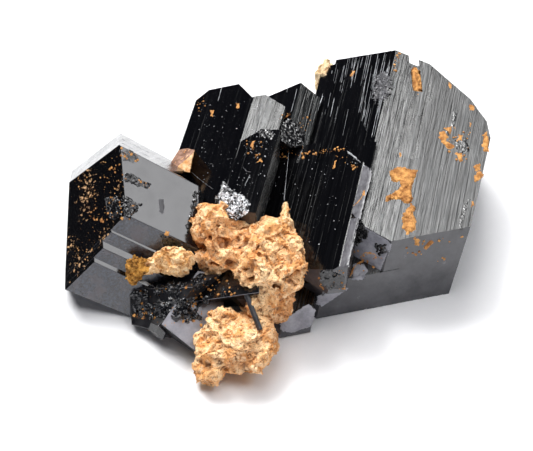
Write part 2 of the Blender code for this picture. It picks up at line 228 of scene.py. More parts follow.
def shown(name, shape, materials, slot, nodes=(), choose=None):
    """Object made of a mesh in millimetres, put in the frame and riding with the cluster."""
    bmesh.ops.transform(shape, matrix=Matrix.Scale(MM, 4) @ Matrix.Translation(SHIFT), verts=shape.verts)
    for face in shape.faces:
        face.material_index = choose(face) if choose else 0
        face.smooth = False
    mesh = bpy.data.meshes.new(name)
    shape.to_mesh(mesh)
    shape.free()
    for material in materials:
        mesh.materials.append(material)
    made = bpy.data.objects.new(name, mesh)
    bpy.context.scene.collection.objects.link(made)
    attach(made, "root")
    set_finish(made, slot)
    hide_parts(*nodes)


def crystal(name, shape, materials, choose=None):
    """Piece of the black crystals, shown in place of their one solid."""
    shown(name, shape, materials, "schorl", ["schorl_crystals"], choose)


def linear(code):
    """Linear colour of an sRGB hex value."""
    parts = [int(code[at:at + 2], 16) / 255.0 for at in (1, 3, 5)]
    return [part / 12.92 if part < 0.04045 else ((part + 0.055) / 1.055) ** 2.4 for part in parts] + [1.0]


def add(tree, kind, settings=(), values=(), links=()):
    """Add a node with its settings, its unlinked values and its links."""
    made = tree.nodes.new(kind)
    for key, value in dict(settings).items():
        setattr(made, key, value)
    for key, value in dict(values).items():
        made.inputs[key].default_value = value
    for key, source in dict(links).items():
        tree.links.new(source, made.inputs[key])
    return made


def mineral(name, ior):
    """Empty material of one mineral: its tree, its shader and its place in the object."""
    made = bpy.data.materials.new(name)
    made.use_nodes = True
    tree = made.node_tree
    shader = tree.nodes["Principled BSDF"]
    shader.inputs["IOR"].default_value = ior
    place = tree.nodes.new("ShaderNodeTexCoord").outputs["Object"]
    return made, tree, shader, place


def clouds(tree, place, scale, detail, roughness=0.5, distortion=0.0):
    """Noise with this many features to the metre."""
    values = {"Scale": scale, "Detail": detail, "Roughness": roughness, "Distortion": distortion}
    return add(tree, "ShaderNodeTexNoise", {}, values, {"Vector": place}).outputs[0]


def ramp(tree, value, start, stop, low=0.0, high=1.0):
    """Stretch of a value, from start to stop, turned into low to high."""
    values = {"From Min": start, "From Max": stop, "To Min": low, "To Max": high}
    return add(tree, "ShaderNodeMapRange", {}, values, {"Value": value}).outputs[0]


def blend(tree, share, *colours):
    """Mix of two colours, each a hex value or the colour of another node."""
    values = {6 + at: linear(colour) for at, colour in enumerate(colours) if isinstance(colour, str)}
    links = {6 + at: colour for at, colour in enumerate(colours) if not isinstance(colour, str)}
    return add(tree, "ShaderNodeMix", {"data_type": "RGBA"}, values, {0: share, **links}).outputs[2]


def combined(tree, kind, first, second):
    """Sum or product of two values."""
    return add(tree, "ShaderNodeMath", {"operation": kind}, {}, {0: first, 1: second}).outputs[0]


def cells(tree, place, scale):
    """Irregular cells, this many to the metre: their distances and their random colours."""
    return add(tree, "ShaderNodeTexVoronoi", {}, {"Scale": scale}, {"Vector": place}).outputs


def bumps(tree, height, strength, high, over=None):
    """Fine relief of a height in millimetres, lying over coarser relief or on the plain face."""
    links = {"Height": height, "Normal": over} if over else {"Height": height}
    return add(tree, "ShaderNodeBump", {}, {"Strength": strength, "Distance": high * MM}, links).outputs[0]


def surface(tree, shader, colour, roughness, normal):
    """Give a mineral its colour, its roughness, which may be one number, and its relief."""
    tree.links.new(colour, shader.inputs["Base Color"])
    tree.links.new(normal, shader.inputs["Normal"])
    if isinstance(roughness, float):
        shader.inputs["Roughness"].default_value = roughness
    else:
        tree.links.new(roughness, shader.inputs["Roughness"])


def striated_schorl(name, dark, light, smooth, silky, relief, turn=(0.0, 0.0, LIE_TURN), worn=None):
    """Black tourmaline, grown prism face: lines of growth along its length give broken streaks, in relief
    and as painted sheen.
    """
    made, tree, shader, place = mineral(name, 1.65)
    # The lines are 0.02 to 0.1 mm wide; drawn 0.15 to 0.9 mm so that they show.
    turned = add(
        tree, "ShaderNodeMapping", {"vector_type": "TEXTURE"}, {"Rotation": turn, "Scale": (1.0, 80.0, 1.0)},
        {"Vector": place},
    )
    fine = clouds(tree, turned.outputs[0], 3600.0, 2.0)
    wide = clouds(tree, turned.outputs[0], 900.0, 5.0, 0.75)
    cloud = clouds(tree, place, 300.0, 6.0, 0.7)
    # Painted sheen: the grey streaks in the colour stand in for light mirrored by the lines of growth; the
    # bumps below are their real relief.
    mixed = combined(tree, "ADD", wide, fine)
    grey = ramp(tree, mixed, 0.85, 1.3)
    tint = blend(tree, grey, dark, light)
    dull = combined(tree, "MULTIPLY", wide, cloud)
    rough = ramp(tree, dull, 0.12, 0.42, smooth, silky)
    if worn:
        # The face gets duller from one side to the other, over this stretch in millimetres.
        start, stop, extra = worn
        across = add(tree, "ShaderNodeVectorMath", {"operation": "DOT_PRODUCT"}, {1: RIGHT}, {0: place})
        share = ramp(tree, across.outputs["Value"], start * MM, stop * MM, 0.0, extra)
        rough = combined(tree, "ADD", rough, share)
    lines = bumps(tree, fine, relief, 0.05)
    steps = bumps(tree, wide, relief, 0.3, lines)
    surface(tree, shader, tint, rough, steps)
    return made


def smooth_schorl(name, low, high, bump, light):
    """Black tourmaline, grown end face: nearly flat, with faint hollows and a skin of fine pits."""
    made, tree, shader, place = mineral(name, 1.65)
    swell = clouds(tree, place, 420.0, 6.0, 0.65)
    # Pits of 0.1 to 0.3 mm.
    pits = cells(tree, place, 1900.0)
    small = ramp(tree, pits["Distance"], 0.0, 0.35)
    tint = blend(tree, swell, "#050507", light)
    rough = ramp(tree, swell, 0.3, 0.7, low, high)
    hollow = bumps(tree, swell, bump, 0.12)
    pitted = bumps(tree, small, bump * 0.4, 0.03, hollow)
    surface(tree, shader, tint, rough, pitted)
    return made


black_schorl = striated_schorl("black_tourmaline_grown_prism_face", "#030304", "#08080a", 0.06, 0.16, 0.06)
silky_schorl = striated_schorl("black_tourmaline_striated_silky_face", "#060607", "#3d3f40", 0.12, 0.36, 0.8)
point_schorl = smooth_schorl("black_tourmaline_grown_end_face", 0.14, 0.28, 0.25, "#55555a")
broken_schorl = smooth_schorl("black_tourmaline_broken_across", 0.18, 0.55, 1.0, "#15151a")
LYING = [black_schorl, point_schorl, broken_schorl, silky_schorl]
worn_schorl = striated_schorl(
    "black_tourmaline_striated_worn_top", "#060607", "#3d3f40", 0.12, 0.36, 0.8, worn=(16.0, 22.0, 0.2),
)
LARGE_LYING = [black_schorl, point_schorl, broken_schorl, worn_schorl]


def lying_finish(face):
    """Tops are silky with lines, left faces are glassy, the point is smooth, back ends are broken."""
    along = face.normal.dot(BACK)
    if along < -0.55:
        return 1
    if along > 0.3:
        return 2
    return 0 if face.normal.dot(RIGHT) < -0.28 else 3


P1 = side(0.0, 0.0, LARGE_TOP)
P0 = side(30.0, 12.9, LARGE_TOP)
G1 = point_face(-66.0, -2.2, 18.4, LARGE_TOP)
G2 = point_face(54.0, -2.2, 18.4, LARGE_TOP)
large = lying_prism([
    P1, P0, side(90.0, 3.4, 6.0), side(150.0, 7.0, 0.0), end_face(92.3, 2.5, 28.9, -6.0, LARGE_TOP),
    G1, G2, end_face(7.2, 34.95, 12.9), end_face(18.0, 34.9, 12.9), end_face(40.0, 33.1, 18.5),
    end_face(53.0, 27.3, 25.5), end_face(73.0, 23.2, 28.6), ground(),
], 3)
large_step = lying_prism([
    side(26.0, 3.4, 6.6), side(30.0, 3.4, 6.4), side(90.0, 1.4, 4.0), side(-90.0, 5.0, 4.0),
    end_face(0.0, 35.6, 2.0), (FRONT, spot(12.0, 0.0, 0.0)), ground(1.0),
], 4)
front_step_a = lying_prism([
    side(0.0, 0.0, 6.8), side(30.0, 10.4, 6.8), side(-90.0, 20.0, 4.0),
    point_face(-66.0, -2.27, 18.4, LARGE_TOP), point_face(54.0, -7.4, 9.6, 6.0),
    (BACK, spot(6.0, 0.0, 0.0)), ground(0.12),
], 5)
front_step_b = lying_prism([
    side(0.0, 0.0, 4.2), side(60.0, 4.6, 3.4), side(-90.0, 9.0, 4.0),
    point_face(-66.0, -12.6, 5.6, 3.4), point_face(54.0, -12.8, 5.2, 3.2),
    (BACK, spot(4.0, 0.0, 0.0)), ground(0.22),
], 6)


def flat_solid(faces, size=120.0):
    """Solid bounded by plain flat faces."""
    shape = bmesh.new()
    bmesh.ops.create_cube(shape, size=size)
    for face in faces:
        close_cut(shape, face)
    bmesh.ops.recalc_face_normals(shape, faces=shape.faces)
    return shape


def solid_object(name, shape):
    """Plain object of a shape as it is, not yet put in the frame."""
    mesh = bpy.data.meshes.new(name)
    shape.to_mesh(mesh)
    shape.free()
    made = bpy.data.objects.new(name, mesh)
    bpy.context.scene.collection.objects.link(made)
    return made


def worked(target, kind, **settings):
    """Result of one modifier on a plain object, as a mesh to go on with."""
    step = target.modifiers.new("work", kind)
    for key, value in settings.items():
        setattr(step, key, value)
    bpy.context.view_layer.update()
    whole = target.evaluated_get(bpy.context.evaluated_depsgraph_get())
    result = bpy.data.meshes.new_from_object(whole)
    bpy.data.objects.remove(target, do_unlink=True)
    shape = bmesh.new()
    shape.from_mesh(result)
    return shape


def carved(shape, cutter_shape):
    """Solid with another solid taken out of it."""
    cutter = solid_object("cutter", cutter_shape)
    result = worked(
        solid_object("body", shape), "BOOLEAN", operation="DIFFERENCE", solver="EXACT", object=cutter,
    )
    bpy.data.objects.remove(cutter, do_unlink=True)
    return result


# The slot that is open at the back end of the large prism is 1.5 mm deep and 1.5 mm wide.
SLOT = [
    (-UP, spot(0.0, 0.0, LARGE_TOP - 1.5)), (UP, spot(0.0, 0.0, LARGE_TOP + 2.0)),
    end_face(0.0, 40.0, 16.0), (FRONT, spot(27.0, 0.0, 0.0)),
    end_face(76.0, 30.0, 17.6), end_face(256.0, 30.0, 16.1),
]
large = carved(large, flat_solid(SLOT))
crystal("large_prism", large, LARGE_LYING, lying_finish)
steps = joined([large_step, front_step_a, front_step_b])
crystal("large_prism_steps", steps, LYING, lying_finish)

# The shelf prism: a second black crystal, sunk in the left flank of the large one. A ledge across
# its top shows where it stopped growing, and its near end is broken into flat faces.
SHELF_TOP = 12.5
SHELF_FRONT = side(30.0, 12.0, SHELF_TOP)
shelf = lying_prism([
    side(0.0, 0.0, SHELF_TOP), SHELF_FRONT, side(60.0, 4.1, 7.9), side(90.0, 2.4, 5.0),
    side(-90.0, 13.3, SHELF_TOP), side(176.0, 12.0, 7.6), point_face(-66.0, -8.6, 11.6, 12.1),
    point_face(54.0, -8.3, 9.7, 11.2), end_face(43.0, 14.0, 8.9), end_face(-8.0, 14.3, 8.7),
], 7)
shelf_root = lying_prism([
    side(60.0, 4.1, 7.9), side(90.0, 2.4, 5.0), side(-90.0, 13.3, 4.0), side(29.0, 4.6, 8.3),
    point_face(-66.0, -2.0, 18.4, LARGE_TOP), point_face(54.0, -4.4, 9.7, 8.0),
    end_face(-8.0, 14.3, 8.7), ground(0.47),
], 8)
crystal("shelf_prism", joined([shelf, shelf_root]), LYING, lying_finish)

# The left prism and the plate on it, the front prism and the two middle ones: black crystals side
# by side with the large one, in one growth. The plate is a thin pale-lit layer of the left prism.
PLATE_TOP = 9.8
left = lying_prism([
    side(0.0, 0.0, PLATE_TOP - 0.2), side(30.0, -7.0, PLATE_TOP), side(90.0, -17.1, 4.0),
    side(-90.0, -3.0, 6.0), side(150.0, -13.4, 0.6), (FRONT, spot(-6.0, 0.0, 0.0)),
    point_face(54.0, -3.0, -9.0, 8.0), end_face(-45.0, 26.2, -16.2), end_face(4.0, 26.8, -12.0),
    end_face(52.0, 24.2, -8.4), ground(0.6),
], 9, 0.4, 0.03)
plate = lying_prism([
    side(0.0, 0.0, PLATE_TOP + 0.1), side(30.0, -7.0, PLATE_TOP + 0.1), side(-90.0, -1.9, 6.0),
    side(90.0, -8.0, 4.0), (FRONT, spot(11.0, 0.0, 0.0)), end_face(-24.0, 23.1, -6.2),
    end_face(27.0, 23.5, -5.4), ground(1.13),
], 10, 0.2, 0.03)
crystal("left_prism", joined([left, plate]), LYING, lying_finish)
front = lying_prism([
    side(22.0, -1.9, 12.6), side(30.0, -7.3, PLATE_TOP), side(90.0, -9.0, 8.0),
    side(-90.0, -1.1, 10.8), (FRONT, spot(-7.0, 0.0, 0.0)), point_face(54.0, -2.0, -3.0, 10.0),
    end_face(-30.0, 14.2, -5.2), end_face(4.0, 14.5, -3.0), ground(0.83),
], 11)
crystal("front_prism", front, LYING, lying_finish)
middle = lying_prism([
    side(30.0, -0.7, 8.6), side(-26.0, -0.7, 8.6), side(90.0, -7.0, 4.0), side(-90.0, 2.6, 4.0),
    (FRONT, spot(16.6, 0.0, 0.0)), end_face(-16.0, 28.4, -1.0), end_face(18.0, 28.4, -1.0),
    ground(0.71),
], 12)
filler = lying_prism([
    side(24.0, 2.4, 7.4), side(30.0, 1.0, 6.8), side(90.0, -3.0, 4.0), side(-90.0, 4.6, 4.0),
    (FRONT, spot(-7.0, 0.0, 0.0)), end_face(0.0, 17.0, 2.0), ground(0.93),
], 13)
crystal("middle_prisms", joined([middle, filler]), LYING, lying_finish)

# The stout crystal: a thick black tourmaline that leans back at the left and shows its three-sided
# point. Its end faces grew in thin layers, which stand back from each other as low ledges.
STOUT_TURN = math.radians(-6.4)
STOUT_RISE = math.radians(48.6)
STOUT_ROLL = 10.0
STOUT_POINT = Vector((-19.7, -3.2, 14.5))
STOUT_LENGTH = 24.0
STOUT_STEPS = ((0.0, 0.0), (2.4, 0.25), (3.8, 0.95), (5.3, 1.4))
STOUT_SLIM = 0.02
STOUT_NOTCH = Vector((-13.74, 4.19, 15.7))
STOUT_AXIS = Vector((
    math.sin(STOUT_TURN) * math.cos(STOUT_RISE), -math.cos(STOUT_TURN) * math.cos(STOUT_RISE),
    math.sin(STOUT_RISE),
))
STOUT_HIGH = (UP - STOUT_AXIS * UP.dot(STOUT_AXIS)).normalized()
STOUT_LEFT = STOUT_AXIS.cross(STOUT_HIGH)


def stout_face(azimuth, tilt, stand):
    """Face of the stout crystal: turned about its axis, tilted off it, standing off its point."""
    turn, lean = math.radians(azimuth + STOUT_ROLL), math.radians(tilt)
    out = STOUT_HIGH * math.cos(turn) + STOUT_LEFT * math.sin(turn)
    normal = out * math.sin(lean) + STOUT_AXIS * math.cos(lean)
    return normal, STOUT_POINT + normal * stand


def stout_layer(inset, rise, slim):
    """One growth layer: its end faces stand back by inset and rise, all its sides by slim."""
    return flat_solid([
        stout_face(65.7, 31.8, -slim), stout_face(-59.7, 30.2, -inset), stout_face(181.3, 26.5, rise),
        stout_face(33.5, 78.4, 7.8 - slim), stout_face(82.2, 79.9, 8.3 - slim),
        stout_face(150.6, 90.0, 13.9 - slim), stout_face(210.0, 90.0, 12.6 - slim),
        stout_face(267.2, 90.0, 9.7 - slim), stout_face(325.9, 87.6, 7.8 - slim),
        (-STOUT_AXIS, STOUT_POINT - STOUT_AXIS * (STOUT_LENGTH - slim)),
        (Vector((0.10, 0.86, -0.5)), Vector((-19.0, 14.9 - 2.0 * slim, 9.0))), ground(slim),
    ])


def eased(shape, width):
    """Take the sharpness off the edges of a flat-sided solid."""
    bmesh.ops.bevel(
        shape, geom=list(shape.edges), offset=width, segments=2, profile=0.6, affect="EDGES",
        clamp_overlap=True,
    )
    return shape


F1 = stout_face(65.7, 31.8, 0.0)
F2 = stout_face(-59.7, 30.2, 0.0)
F4 = stout_face(181.3, 26.5, 0.0)
rim = stout_face(325.9, 87.6, 0.0)[0]
edge = F2[0].cross(rim).normalized()
NOTCH = [
    (-(Matrix.Rotation(math.radians(20.0), 3, edge) @ rim), STOUT_NOTCH),
    (Vector((-0.98, 0.0, -0.2)), STOUT_NOTCH),
]
layers = [
    eased(carved(stout_layer(inset, rise, STOUT_SLIM * index), flat_solid(NOTCH)), 0.06)
    for index, (inset, rise) in enumerate(STOUT_STEPS)
]
stout_skin = smooth_schorl("black_tourmaline_stout_end_face", 0.1, 0.22, 0.14, "#17171a")
AXIS_TURN = Matrix((STOUT_LEFT, STOUT_AXIS, STOUT_HIGH)).transposed().to_euler()
rim_skin = striated_schorl("black_tourmaline_striated_rim", "#070708", "#3e3e43", 0.08, 0.26, 0.4, AXIS_TURN)
satin_skin, tree, shader, place = mineral("black_tourmaline_satin_front_face", 1.65)
# Etch marks of 0.2 to 0.5 mm scatter a bluish and a reddish grey.
marks = clouds(tree, place, 2800.0, 4.0, 0.6)
cloud = clouds(tree, place, 420.0, 4.0)
blue = ramp(tree, marks, 0.4, 0.62)
cool = blend(tree, blue, "#29272b", "#3e4450")
warm = ramp(tree, cloud, 0.52, 0.66, 0.0, 0.5)
tint = blend(tree, warm, cool, "#4b3f41")
dull = ramp(tree, cloud, 0.3, 0.7, 0.14, 0.34)
dimple = bumps(tree, marks, 0.3, 0.05)
surface(tree, shader, tint, dull, dimple)
speckled_skin, tree, shader, place = mineral("black_tourmaline_face_with_iron_in_its_pits", 1.65)
# Pits of 0.1 to 0.4 mm filled with limonite, in swarms a few millimetres wide.
fill = clouds(tree, place, 2100.0, 6.0, 0.68)
swarm = clouds(tree, place, 260.0, 3.0)
both = add(
    tree, "ShaderNodeMath", {"operation": "MULTIPLY_ADD"}, {1: 0.55}, {0: swarm, 2: fill},
).outputs[0]
speck = ramp(tree, both, 0.915, 0.945)
ore = clouds(tree, place, 1100.0, 2.0)
gold_tint = blend(tree, ore, "#7d4a1f", "#ecc08a")
tint = blend(tree, speck, "#060607", gold_tint)
dull = ramp(tree, speck, 0.0, 1.0, 0.12, 0.8)
pitted = bumps(tree, fill, 0.5, 0.1)
surface(tree, shader, tint, dull, pitted)


def stout_finish(face):
    """Gold-specked left face, satin front face, striated sides, plain glassy rest."""
    if face.normal.dot(F1[0]) > 0.98:
        return 1
    if face.normal.dot(F4[0]) > 0.98:
        return 2
    if face.normal.z < -0.3 and face.normal.y > 0.7:
        return 4
    return 3 if abs(face.normal.dot(STOUT_AXIS)) < 0.3 else 0


crystal(
    "stout_crystal", joined(layers), [stout_skin, speckled_skin, satin_skin, rim_skin, broken_schorl],
    stout_finish,
)


# The small crystals: stubs of black tourmaline at the front, grown at all angles out of the same
# root, each with one or two clean faces and a rough foot.


def small_prism(turn, rise, roll, tip, width, length, tilt=27.5):
    """Six-sided stub with a three-sided point at its tip; angles in degrees."""
    turn, rise = math.radians(turn), math.radians(rise)
    axis = Vector((
        math.sin(turn) * math.cos(rise), -math.cos(turn) * math.cos(rise), math.sin(rise),
    ))
    high = (UP - axis * UP.dot(axis)).normalized()
    left = axis.cross(high)
    tip = Vector(tip)
    faces = []
    for index in range(6):
        angle = math.radians(roll + 60.0 * index)
        out = high * math.cos(angle) + left * math.sin(angle)
        faces.append((out, tip + out * width * 0.5))
    for index in range(3):
        angle, lean = math.radians(roll + 30.0 + 120.0 * index), math.radians(tilt)
        out = high * math.cos(angle) + left * math.sin(angle)
        faces.append((out * math.sin(lean) + axis * math.cos(lean), tip))
    return flat_solid(faces + [(-axis, tip - axis * length), ground(0.2)])


def facet(normal, through):
    """Flat face given by the direction it looks in and a point on it."""
    return Vector(normal).normalized(), Vector(through)


GREY_TOP = facet((0.25, -0.45, 0.86), (-11.5, -16.2, 4.1))
DULL_FACE = facet((-0.5, -0.5, 0.71), (-14.4, -11.3, 5.9))
GLOSSY_TOP = facet((-0.42, 0.05, 0.9), (-8.2, -10.9, 6.9))
small_grey = flat_solid([
    GREY_TOP, facet((-0.6, -0.75, -0.3), (-12.3, -16.7, 3.5)),
    facet((-0.8, 0.5, 0.1), (-14.6, -15.0, 4.0)),
    facet((1.0, 0.0, 0.0), (-6.0, -16.0, 3.0)),
    facet((0.0, 1.0, 0.0), (-10.0, -8.0, 3.0)), ground(0.76),
])
small_dull = flat_solid([
    DULL_FACE, facet((-0.25, 0.5, 0.83), (-14.0, -10.2, 6.8)),
    facet((-0.35, -0.85, -0.3), (-16.8, -14.2, 2.5)),
    facet((-0.95, -0.15, 0.1), (-19.2, -11.6, 4.0)),
    facet((0.6, -0.8, 0.1), (-13.8, -14.6, 4.5)),
    facet((1.0, 0.0, 0.0), (-6.4, -12.0, 3.0)),
    facet((0.0, 1.0, 0.0), (-10.0, -5.0, 3.0)), ground(1.03),
])
small_glossy = flat_solid([
    GLOSSY_TOP, facet((0.05, -0.9, -0.42), (-9.0, -12.2, 6.4)),
    facet((-0.95, -0.2, 0.2), (-12.2, -11.6, 5.4)),
    facet((1.0, 0.0, 0.0), (-1.0, -12.0, 3.0)),
    facet((0.0, 1.0, 0.0), (-10.0, -4.0, 3.0)), ground(1.24),
])
small_blue = small_prism(-35.0, 8.0, 20.0, (-15.7, -15.3, 3.0), 2.6, 9.0, 16.0)
stick = small_prism(51.0, -32.0, 12.0, (0.1, -14.9, 2.9), 1.3, 7.5)
BLUE_TOP = Vector((-0.3, -0.35, 0.89)).normalized()
# Painted reflection: the light grey of the two pale facets stands in for the light they mirror; the crystal
# itself is black.
painted_reflection_facet = smooth_schorl("black_tourmaline_painted_reflection_small_facet", 0.25, 0.45, 0.3, "#b9b8c2")
glossy_facet = smooth_schorl("black_tourmaline_glossy_small_facet", 0.06, 0.2, 0.25, "#0a0a0c")


def small_finish(face):
    """Two pale facets with painted reflection, one glossy one, broken faces all round."""
    if face.normal.dot(GREY_TOP[0]) > 0.97 or face.normal.dot(BLUE_TOP) > 0.97:
        return 1
    return 2 if face.normal.dot(GLOSSY_TOP[0]) > 0.97 else 0


crystal(
    "small_crystals",
    joined([eased(one, 0.05) for one in (small_grey, small_dull, small_glossy, small_blue, stick)]),
    [broken_schorl, painted_reflection_facet, glossy_facet], small_finish,
)

# The crushed mass on the small crystals: tourmaline broken into a heap of glassy black splinters,
# which still sticks to the crystals under it and mirrors the light as blue-white sparks.
crushed_schorl, tree, shader, place = mineral("black_tourmaline_crushed_glassy_splinters", 1.65)
# Splinters are 0.2 to 0.6 mm across.
chips = cells(tree, place, 2400.0)
tint = blend(tree, chips["Distance"], "#020203", "#16181f")
gloss = clouds(tree, place, 1200.0, 3.0)
rough = ramp(tree, gloss, 0.35, 0.65, 0.06, 0.4)
split = bumps(tree, chips["Distance"], 0.8, 0.12)
surface(tree, shader, tint, rough, split)


def skin_of(pieces):
    """Search tree over the faces of some pieces, in millimetres."""
    points, faces = [], []
    for piece in pieces:
        first = len(points)
        points += [vert.co / MM - SHIFT for vert in piece.data.vertices]
        faces += [[first + index for index in face.vertices] for face in piece.data.polygons]
    return BVHTree.FromPolygons(points, faces)


def heap(skin, spots_px, seed):
    """Balls half sunk in the crystal faces seen at these photo pixels, each pixel with a radius."""
    balls = []
    for index, (x, y, size) in enumerate(spots_px):
        place, normal = skin.ray_cast(EYE, ray(x, y))[:2]
        balls.append((place - normal * 0.5 * size, (size, size, size), seed + index, 0.2))
    return balls


def rough_balls(lumps, pitch):
    """Balls run together into one body, with faces about one pitch across."""
    shape = bmesh.new()
    for centre, radii, seed, rough, *lean in lumps:
        ball = bmesh.ops.create_icosphere(shape, subdivisions=4, radius=1.0)
        turn = Matrix.Rotation(math.radians(lean[0] if lean else 0.0), 3, "X")
        for vert in ball["verts"]:
            out = vert.co.normalized()
            place = out * 1.6 + Vector((seed * 3.1, seed * 1.7, seed * 0.9))
            wave = noise.noise(place) + 0.5 * noise.noise(place * 2.3) + 0.28 * noise.noise(place * 5.1)
            swell = 1.0 + rough * wave
            reach = Vector((out.x * radii[0], out.y * radii[1], out.z * radii[2])) * swell
            vert.co = Vector(centre) + turn @ reach
    return worked(solid_object("balls", shape), "REMESH", mode="VOXEL", voxel_size=pitch)


# Without a fixed seed each run would give the grains other slopes.
noise.seed_set(4)


def shattered(place, seed):
    """Height of broken ground: each grain has its own level and its own tilted face, -1 to 1."""
    middle = noise.voronoi(place + Vector((seed, seed * 0.7, seed * 1.3)))[1][0]
    lean = noise.noise_vector(middle * 4.7)
    away = place + Vector((seed, seed * 0.7, seed * 1.3)) - middle
    return away.dot(lean) * 2.4 + noise.noise(middle * 3.1) * 1.1


def grainy(shape, grain, high, seed, coarse=0.0, hollows=(), crack=0.0):
    """Break a body's skin into coarse and fine grains, and sink hollows seen at photo pixels."""
    shape.normal_update()
    skin = BVHTree.FromBMesh(shape)
    pockets = [(skin.ray_cast(EYE, ray(x, y))[0], wide, deep) for x, y, wide, deep in hollows]
    pockets = [pocket for pocket in pockets if pocket[0]]
    moves = []
    for vert in shape.verts:
        wave = noise.fractal(vert.co * 0.55 + Vector((seed, 0.0, 0.0)), 0.7, 2.1, 4)
        move = high * (shattered(vert.co / grain, seed) - 0.5 + 0.4 * wave)
        gaps = noise.voronoi(vert.co / 1.3 + Vector((seed, 0.0, seed)))[0]
        move -= crack * math.exp(-((gaps[1] - gaps[0]) / 0.16) ** 2)
        move += coarse * (shattered(vert.co / 2.6, seed * 0.3) - 0.3)
        for centre, wide, deep in pockets:
            away = (vert.co - centre).length / wide
            if away < 1.8:
                move -= deep * math.exp(-1.6 * away * away)
        moves.append(vert.normal * move)
    for vert, move in zip(shape.verts, moves):
        vert.co += move
    close_cut(shape, ground(0.05))
    return shape


crystals = skin_of([each for each in bpy.context.scene.objects if each.get("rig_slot") == "schorl"])
crushed = grainy(rough_balls(heap(crystals, (
    (136, 296, 1.1), (146, 294, 1.2), (157, 292, 1.2), (168, 291, 1.2), (178, 290, 1.1), (137, 307, 1.1),
    (148, 307, 1.3), (160, 306, 1.4), (171, 305, 1.4), (181, 303, 1.3), (190, 300, 1.1), (142, 316, 0.9),
    (153, 317, 1.1), (165, 317, 1.2), (177, 315, 1.3), (188, 312, 1.3), (197, 306, 1.1), (198, 317, 1.1),
    (188, 321, 0.9), (152, 286, 0.9), (170, 284, 0.9), (205, 300, 0.9),
    (192, 279, 0.9), (201, 277, 0.9), (207, 284, 0.8), (198, 288, 0.8),
), 60), 0.16), 0.6, 0.22, 15.0, 0.3)
crystal("crushed_mass", crushed, [crushed_schorl])

# The rock between the crystals: tan feldspar and quartz, sugary and crumbled, stained with iron.
# It is one lump in the middle and one below it, both broken off a larger piece.


def feldspar(name, pale, mid, deep, stain):
    """Feldspar, broken: sugary pale grains with iron stain between them and in the hollows."""
    made, tree, shader, place = mineral(name, 1.53)
    # Grains are 0.3 to 0.8 mm across.
    grains = cells(tree, place, 1700.0)
    cloud = clouds(tree, place, 330.0, 5.0, 0.65)
    fine = clouds(tree, place, 2600.0, 4.0, 0.7)
    shade = ramp(tree, cloud, 0.42, 0.58)
    first = blend(tree, shade, mid, pale)
    grit = ramp(tree, fine, 0.5, 0.72, 0.0, 0.6)
    second = blend(tree, grit, first, deep)
    blotch = clouds(tree, place, 150.0, 3.0)
    rusty = ramp(tree, blotch, 0.48, 0.66, 0.0, 0.6)
    second = blend(tree, rusty, second, "#c27c3c")
    # Fresh cleavage flakes are nearly white; grit between the grains is dark brown.
    fresh = ramp(tree, grains["Color"], 0.6, 0.72, 0.0, 0.45)
    second = blend(tree, fresh, second, "#fde2b8")
    dirt = clouds(tree, place, 3600.0, 3.0, 0.6)
    dark = ramp(tree, dirt, 0.58, 0.66, 0.0, stain)
    second = blend(tree, dark, second, "#7d461b")
    hollow = add(tree, "ShaderNodeNewGeometry")
    low = ramp(tree, hollow.outputs["Pointiness"], 0.49, 0.42, 0.0, stain)
    third = blend(tree, low, second, "#6b3a16")
    bump = bumps(tree, grains["Distance"], 0.5, 0.12)
    bumpy = bumps(tree, fine, 0.4, 0.06, bump)
    surface(tree, shader, third, 0.7, bumpy)
    return made


tan_feldspar = feldspar("tan_feldspar_broken_and_iron_stained", "#fad4a0", "#e2a260", "#925322", 0.9)
LUMP_PITCH = 0.2
centre_lump = grainy(rough_balls([
    ((0.8, -7.6, 9.4), (5.2, 6.6, 5.2), 1, 0.26), ((-7.8, -2.3, 10.5), (3.1, 4.3, 3.6), 2, 0.2),
    ((-6.6, -6.6, 9.0), (3.2, 2.6, 2.6), 14, 0.26), ((2.7, 0.2, 9.2), (0.7, 2.6, 1.6), 15, 0.2),
    ((0.2, -12.3, 5.9), (3.8, 2.9, 3.7), 3, 0.2), ((-1.8, -9.6, 8.2), (3.3, 3.6, 3.5), 16, 0.2),
    ((-1.2, -3.0, 10.0), (4.4, 2.4, 2.2), 4, 0.28),
], LUMP_PITCH), 0.65, 0.19, 5.0, 0.6, (
    (212, 253, 0.8, 1.3), (212, 268, 0.9, 1.3), (208, 238, 0.8, 1.0), (222, 228, 1.1, 1.0),
    (238, 226, 1.7, 1.5),
    (232, 262, 1.0, 0.8), (262, 250, 0.9, 0.7), (250, 280, 0.9, 0.8), (276, 292, 1.2, 0.8),
    (290, 262, 0.8, 0.6),
    (270, 232, 0.8, 0.6), (225, 245, 0.9, 0.7),
), 0.1)
shown("centre_rock", centre_lump, [tan_feldspar], "feldspar", ["matrix_centre"])
low_lump = grainy(rough_balls([
    ((-4.1, -17.5, 3.8), (6.0, 4.8, 3.7), 5, 0.2), ((-8.0, -21.0, 2.3), (2.2, 2.7, 2.5), 6, 0.22),
    ((-6.2, -15.0, 5.2), (2.7, 2.2, 2.5), 11, 0.24),
], LUMP_PITCH), 0.6, 0.17, 9.0, 0.5, (
    (203, 340, 1.0, 0.8), (232, 335, 1.0, 0.6), (255, 355, 1.1, 0.6), (205, 365, 1.0, 0.7),
), 0.1)
shown("low_rock", low_lump, [tan_feldspar], "feldspar", ["matrix_low"])

